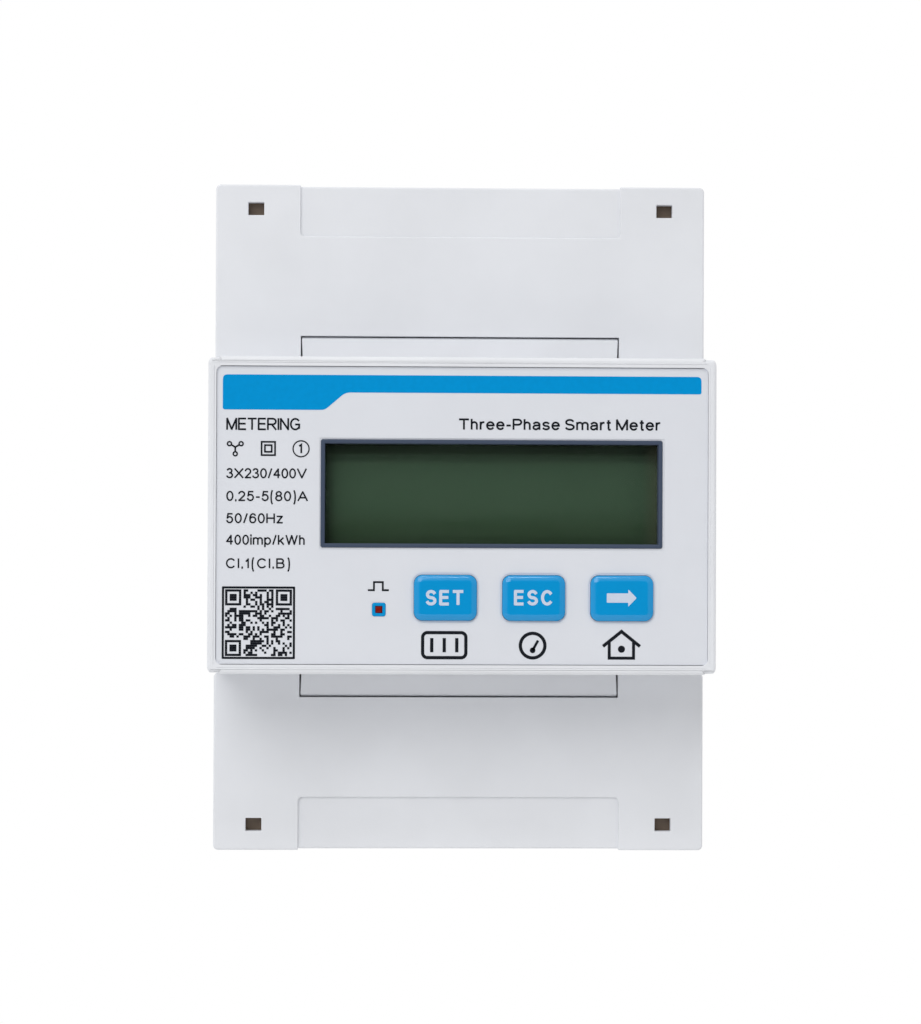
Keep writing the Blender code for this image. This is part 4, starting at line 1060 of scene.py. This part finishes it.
# %% Screws
def screw(node, label, head_behind, root, pitch, width):
    """Draws the shank in to the root radius, rounds the head's edges and winds the thread on it."""
    high, middle = span(node)[1], front_view(node)[0]
    full = {"radius": 0.0}

    def thinned(points):
        shank = points[:, 1] > head_behind + 0.02
        away = points[:, [0, 2]] - middle
        full["radius"] = np.linalg.norm(away[shank], axis=1).max()
        points[np.ix_(shank, [0, 2])] = middle + away[shank] * root / full["radius"]

    softened(node, width, zinc, f"{label}_body", settle=thinned)
    length = high[1] - head_behind - 0.9
    outline = [(root - 0.05, -0.42 * pitch), (full["radius"] - 0.03, -0.06 * pitch),
               (full["radius"] - 0.03, 0.06 * pitch), (root - 0.05, 0.42 * pitch)]
    turns = length / pitch
    x, z, y = wound(outline, 0.0, pitch, turns, int(turns * 30))
    grid = np.stack([middle[0] + x, head_behind + 0.45 + y, middle[1] + z], axis=-1)
    piece(f"{label}_thread", skin(grid), zinc, home[node], slot_of[node], angle=50)


for side in ("upper", "lower"):
    for pole in range(1, 5):
        screw(f"{side}_screw_{pole}", f"{side}_clamp_screw_{pole}", -27.3, 2.1, 0.8, 0.14)
for pole in range(1, 5):
    screw(f"signal_screw_{pole}", f"signal_clamp_screw_{pole}", -40.3, 0.85, 0.5, 0.08)
print("pieces so far:", len(made))

# %% [markdown]
# The clip's spring is pushed together as the clip is pulled out, while its foot stays. Here it is
# one fixed coil riding on the housing, with its turns a little closer together towards both ends.

# %% Clip spring
spring_low, spring_high = span("rail_clip_spring")
spring_middle = (spring_low[[0, 1]] + spring_high[[0, 1]]) / 2
WIRE = 0.3
coil = (spring_high[0] - spring_low[0]) / 2 - WIRE
turn = np.arange(12) * 2 * np.pi / 12
wire_outline = np.stack([coil + WIRE * np.cos(turn), WIRE * np.sin(turn)], axis=1)
a = np.linspace(0, 2 * np.pi * 7, 7 * 36)
tall = spring_high[2] - spring_low[2] - 2 * WIRE
share = a / a[-1]
lift = spring_low[2] + WIRE + tall * (share - 0.035 * np.sin(2 * np.pi * share))
around_x = wire_outline[:, 0] * np.cos(a)[:, None] + spring_middle[0]
around_y = wire_outline[:, 0] * np.sin(a)[:, None] + spring_middle[1]
grid = np.stack([around_x, around_y, lift[:, None] + wire_outline[:, 1]], axis=-1)
spring = piece("clip_spring", skin(grid), wire, "housing", "spring_steel", "rail_clip_spring", angle=60)
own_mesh(spring)

# %% [markdown]
# # Clamps, bars and everything inside
# The cages are bent steel, the bars copper strip. Behind the panel are the two circuit boards with
# their parts, the keys' plungers and switches, and three current transformers round the bars.

# %% Inner pieces
INNER = {
    "phase_bar_1": (copper, 0.2), "phase_bar_2": (copper, 0.2), "phase_bar_3": (copper, 0.2),
    "neutral_bar": (copper, 0.2), "display_board": (board_green, 0.1), "main_board": (board_green, 0.1),
    "board_header": (resin, 0.1), "metering_chip": (resin, 0.12), "supply_transformer": (laminations, 0.2),
    "backup_capacitor": (can_sleeve, 0.3), "surge_varistor": (disc_epoxy, 0.4),
    "current_transformer_1": (potting, 0.2), "current_transformer_2": (potting, 0.2),
    "current_transformer_3": (potting, 0.2),
}
for key_name in ("set", "escape", "arrow"):
    INNER[f"{key_name}_plunger"] = (nylon, 0.15)
    INNER[f"{key_name}_switch"] = (resin, 0.12)
for side in ("upper", "lower"):
    for pole in range(1, 5):
        INNER[f"{side}_cage_{pole}"] = (zinc, 0.15)
for node, (finish, width) in INNER.items():
    softened(node, width, finish, f"{node}_part")
shown = [name for name, obj in nodes.items() if not obj.hide_render]
print("pieces made:", len(made), "model pieces still shown:", shown)

# %% [markdown]
# # Light, floor and camera
# Soft light from all round lifts the pale shells to nearly white, and a large soft panel above, in
# front and to the left draws the gentle shade under the raised front. A narrow strip higher up gives
# the rounded edges and the keys a thin highlight. The camera sees a plain white sky. As a light the
# sky is full behind the object, dimmer in front of it, and dimmer still towards the floor.

# %% Sky
world = bpy.context.scene.world or bpy.data.worlds.new("studio")
bpy.context.scene.world = world
world.use_nodes = True
world.node_tree.nodes.clear()
sky = Network(world.node_tree)
sky.place = sky.add("TexCoord", out="Generated")
SMOOTH = {"interpolation_type": "SMOOTHSTEP"}
height = sky.between(sky.along("Z"), 0.53, 0.82, -0.6, 0.7, **SMOOTH)
behind = sky.between(sky.along("Y"), 0.0, 1.0, 0.0, 0.45, **SMOOTH)
ahead = sky.between(sky.along("Y"), 0.15, 1.0, -0.93, -0.78, **SMOOTH)
dimmed = sky.add("Math", {0: height, 1: ahead}, operation="MULTIPLY")
camera_ray = sky.add("LightPath", out="Is Camera Ray")
strength = sky.blend(camera_ray, sky.blend(behind, dimmed, 1.0), 1.0)
background = sky.add("Background", {"Color": grey(1.0), "Strength": strength})
sky.put(sky.tree.nodes.new("ShaderNodeOutputWorld").inputs["Surface"], background)


# %% Soft panel and floor
def look_at(place, target):
    """A matrix at a place whose own -Z points at the target."""
    way = target - place
    back = -way / np.linalg.norm(way)
    right = np.cross([0.0, 0.0, 1.0], back)
    right /= np.linalg.norm(right)
    matrix = Matrix.Identity(4)
    for row in range(3):
        matrix[row][0], matrix[row][1] = right[row], np.cross(back, right)[row]
        matrix[row][2], matrix[row][3] = back[row], place[row]
    return matrix


def soft_panel(name, place, size, power):
    light = bpy.data.lights.new(name, "AREA")
    light.shape, light.size, light.size_y, light.energy = "RECTANGLE", size[0], size[1], power
    linked(name, light).matrix_world = look_at(np.array(place), np.array([0.0, -0.04, 0.0]))


soft_panel("overhead_panel", (-0.488, -1.15, 0.76), (0.878, 0.819), 6.9)
soft_panel("edge_strip", (-0.16, -0.80, 1.12), (0.60, 0.07), 1.55)
floor_z, floor_half = -0.3, 1.0
corners = [(-1, -1), (1, -1), (1, 1), (-1, 1)]
floor_mesh = bpy.data.meshes.new("floor")
floor_points = [(x * floor_half, y * floor_half, floor_z) for x, y in corners]
floor_mesh.from_pydata(floor_points, [], [(0, 1, 2, 3)])
floor_finish = Finish("floor_paint", 0.7)
floor_tone = floor_finish.noise(3.0, 4.0)
floor_finish.to(Base_Color=floor_finish.mixed(floor_tone, grey(0.80), grey(0.84)))
floor_mesh.materials.append(floor_finish.material)
linked("floor", floor_mesh)
print("floor at", floor_z, "m")

# %% [markdown]
# The camera stands almost straight in front, a finger's width to the left of the middle, and looks
# very slightly to the right and up. A long lens keeps the meter's sides nearly parallel.

# %% Camera
eye = np.array([-11.22, -447.6, -4.14]) * MM
yaw, pitch, roll = np.radians([1.614, 0.692, 0.224])
forward = np.array([math.cos(pitch) * math.sin(yaw), math.cos(pitch) * math.cos(yaw), math.sin(pitch)])
right = np.array([math.cos(yaw), -math.sin(yaw), 0.0])
up = np.cross(right, forward)
right, up = math.cos(roll) * right + math.sin(roll) * up, math.cos(roll) * up - math.sin(roll) * right
camera_data = bpy.data.cameras.new("camera")
camera_data.lens, camera_data.sensor_width = 96.29, 36.0
camera_data.clip_start, camera_data.clip_end = 0.01, 20.0
camera = linked("camera", camera_data)
camera.matrix_world = Matrix([[*axes, at] for axes, at in zip(np.stack([right, up, -forward], 1), eye)]
                             + [[0.0, 0.0, 0.0, 1.0]])
bpy.context.scene.camera = camera
bpy.context.scene.view_settings.view_transform = "Standard"
print("camera", eye.round(4), "lens", camera_data.lens)
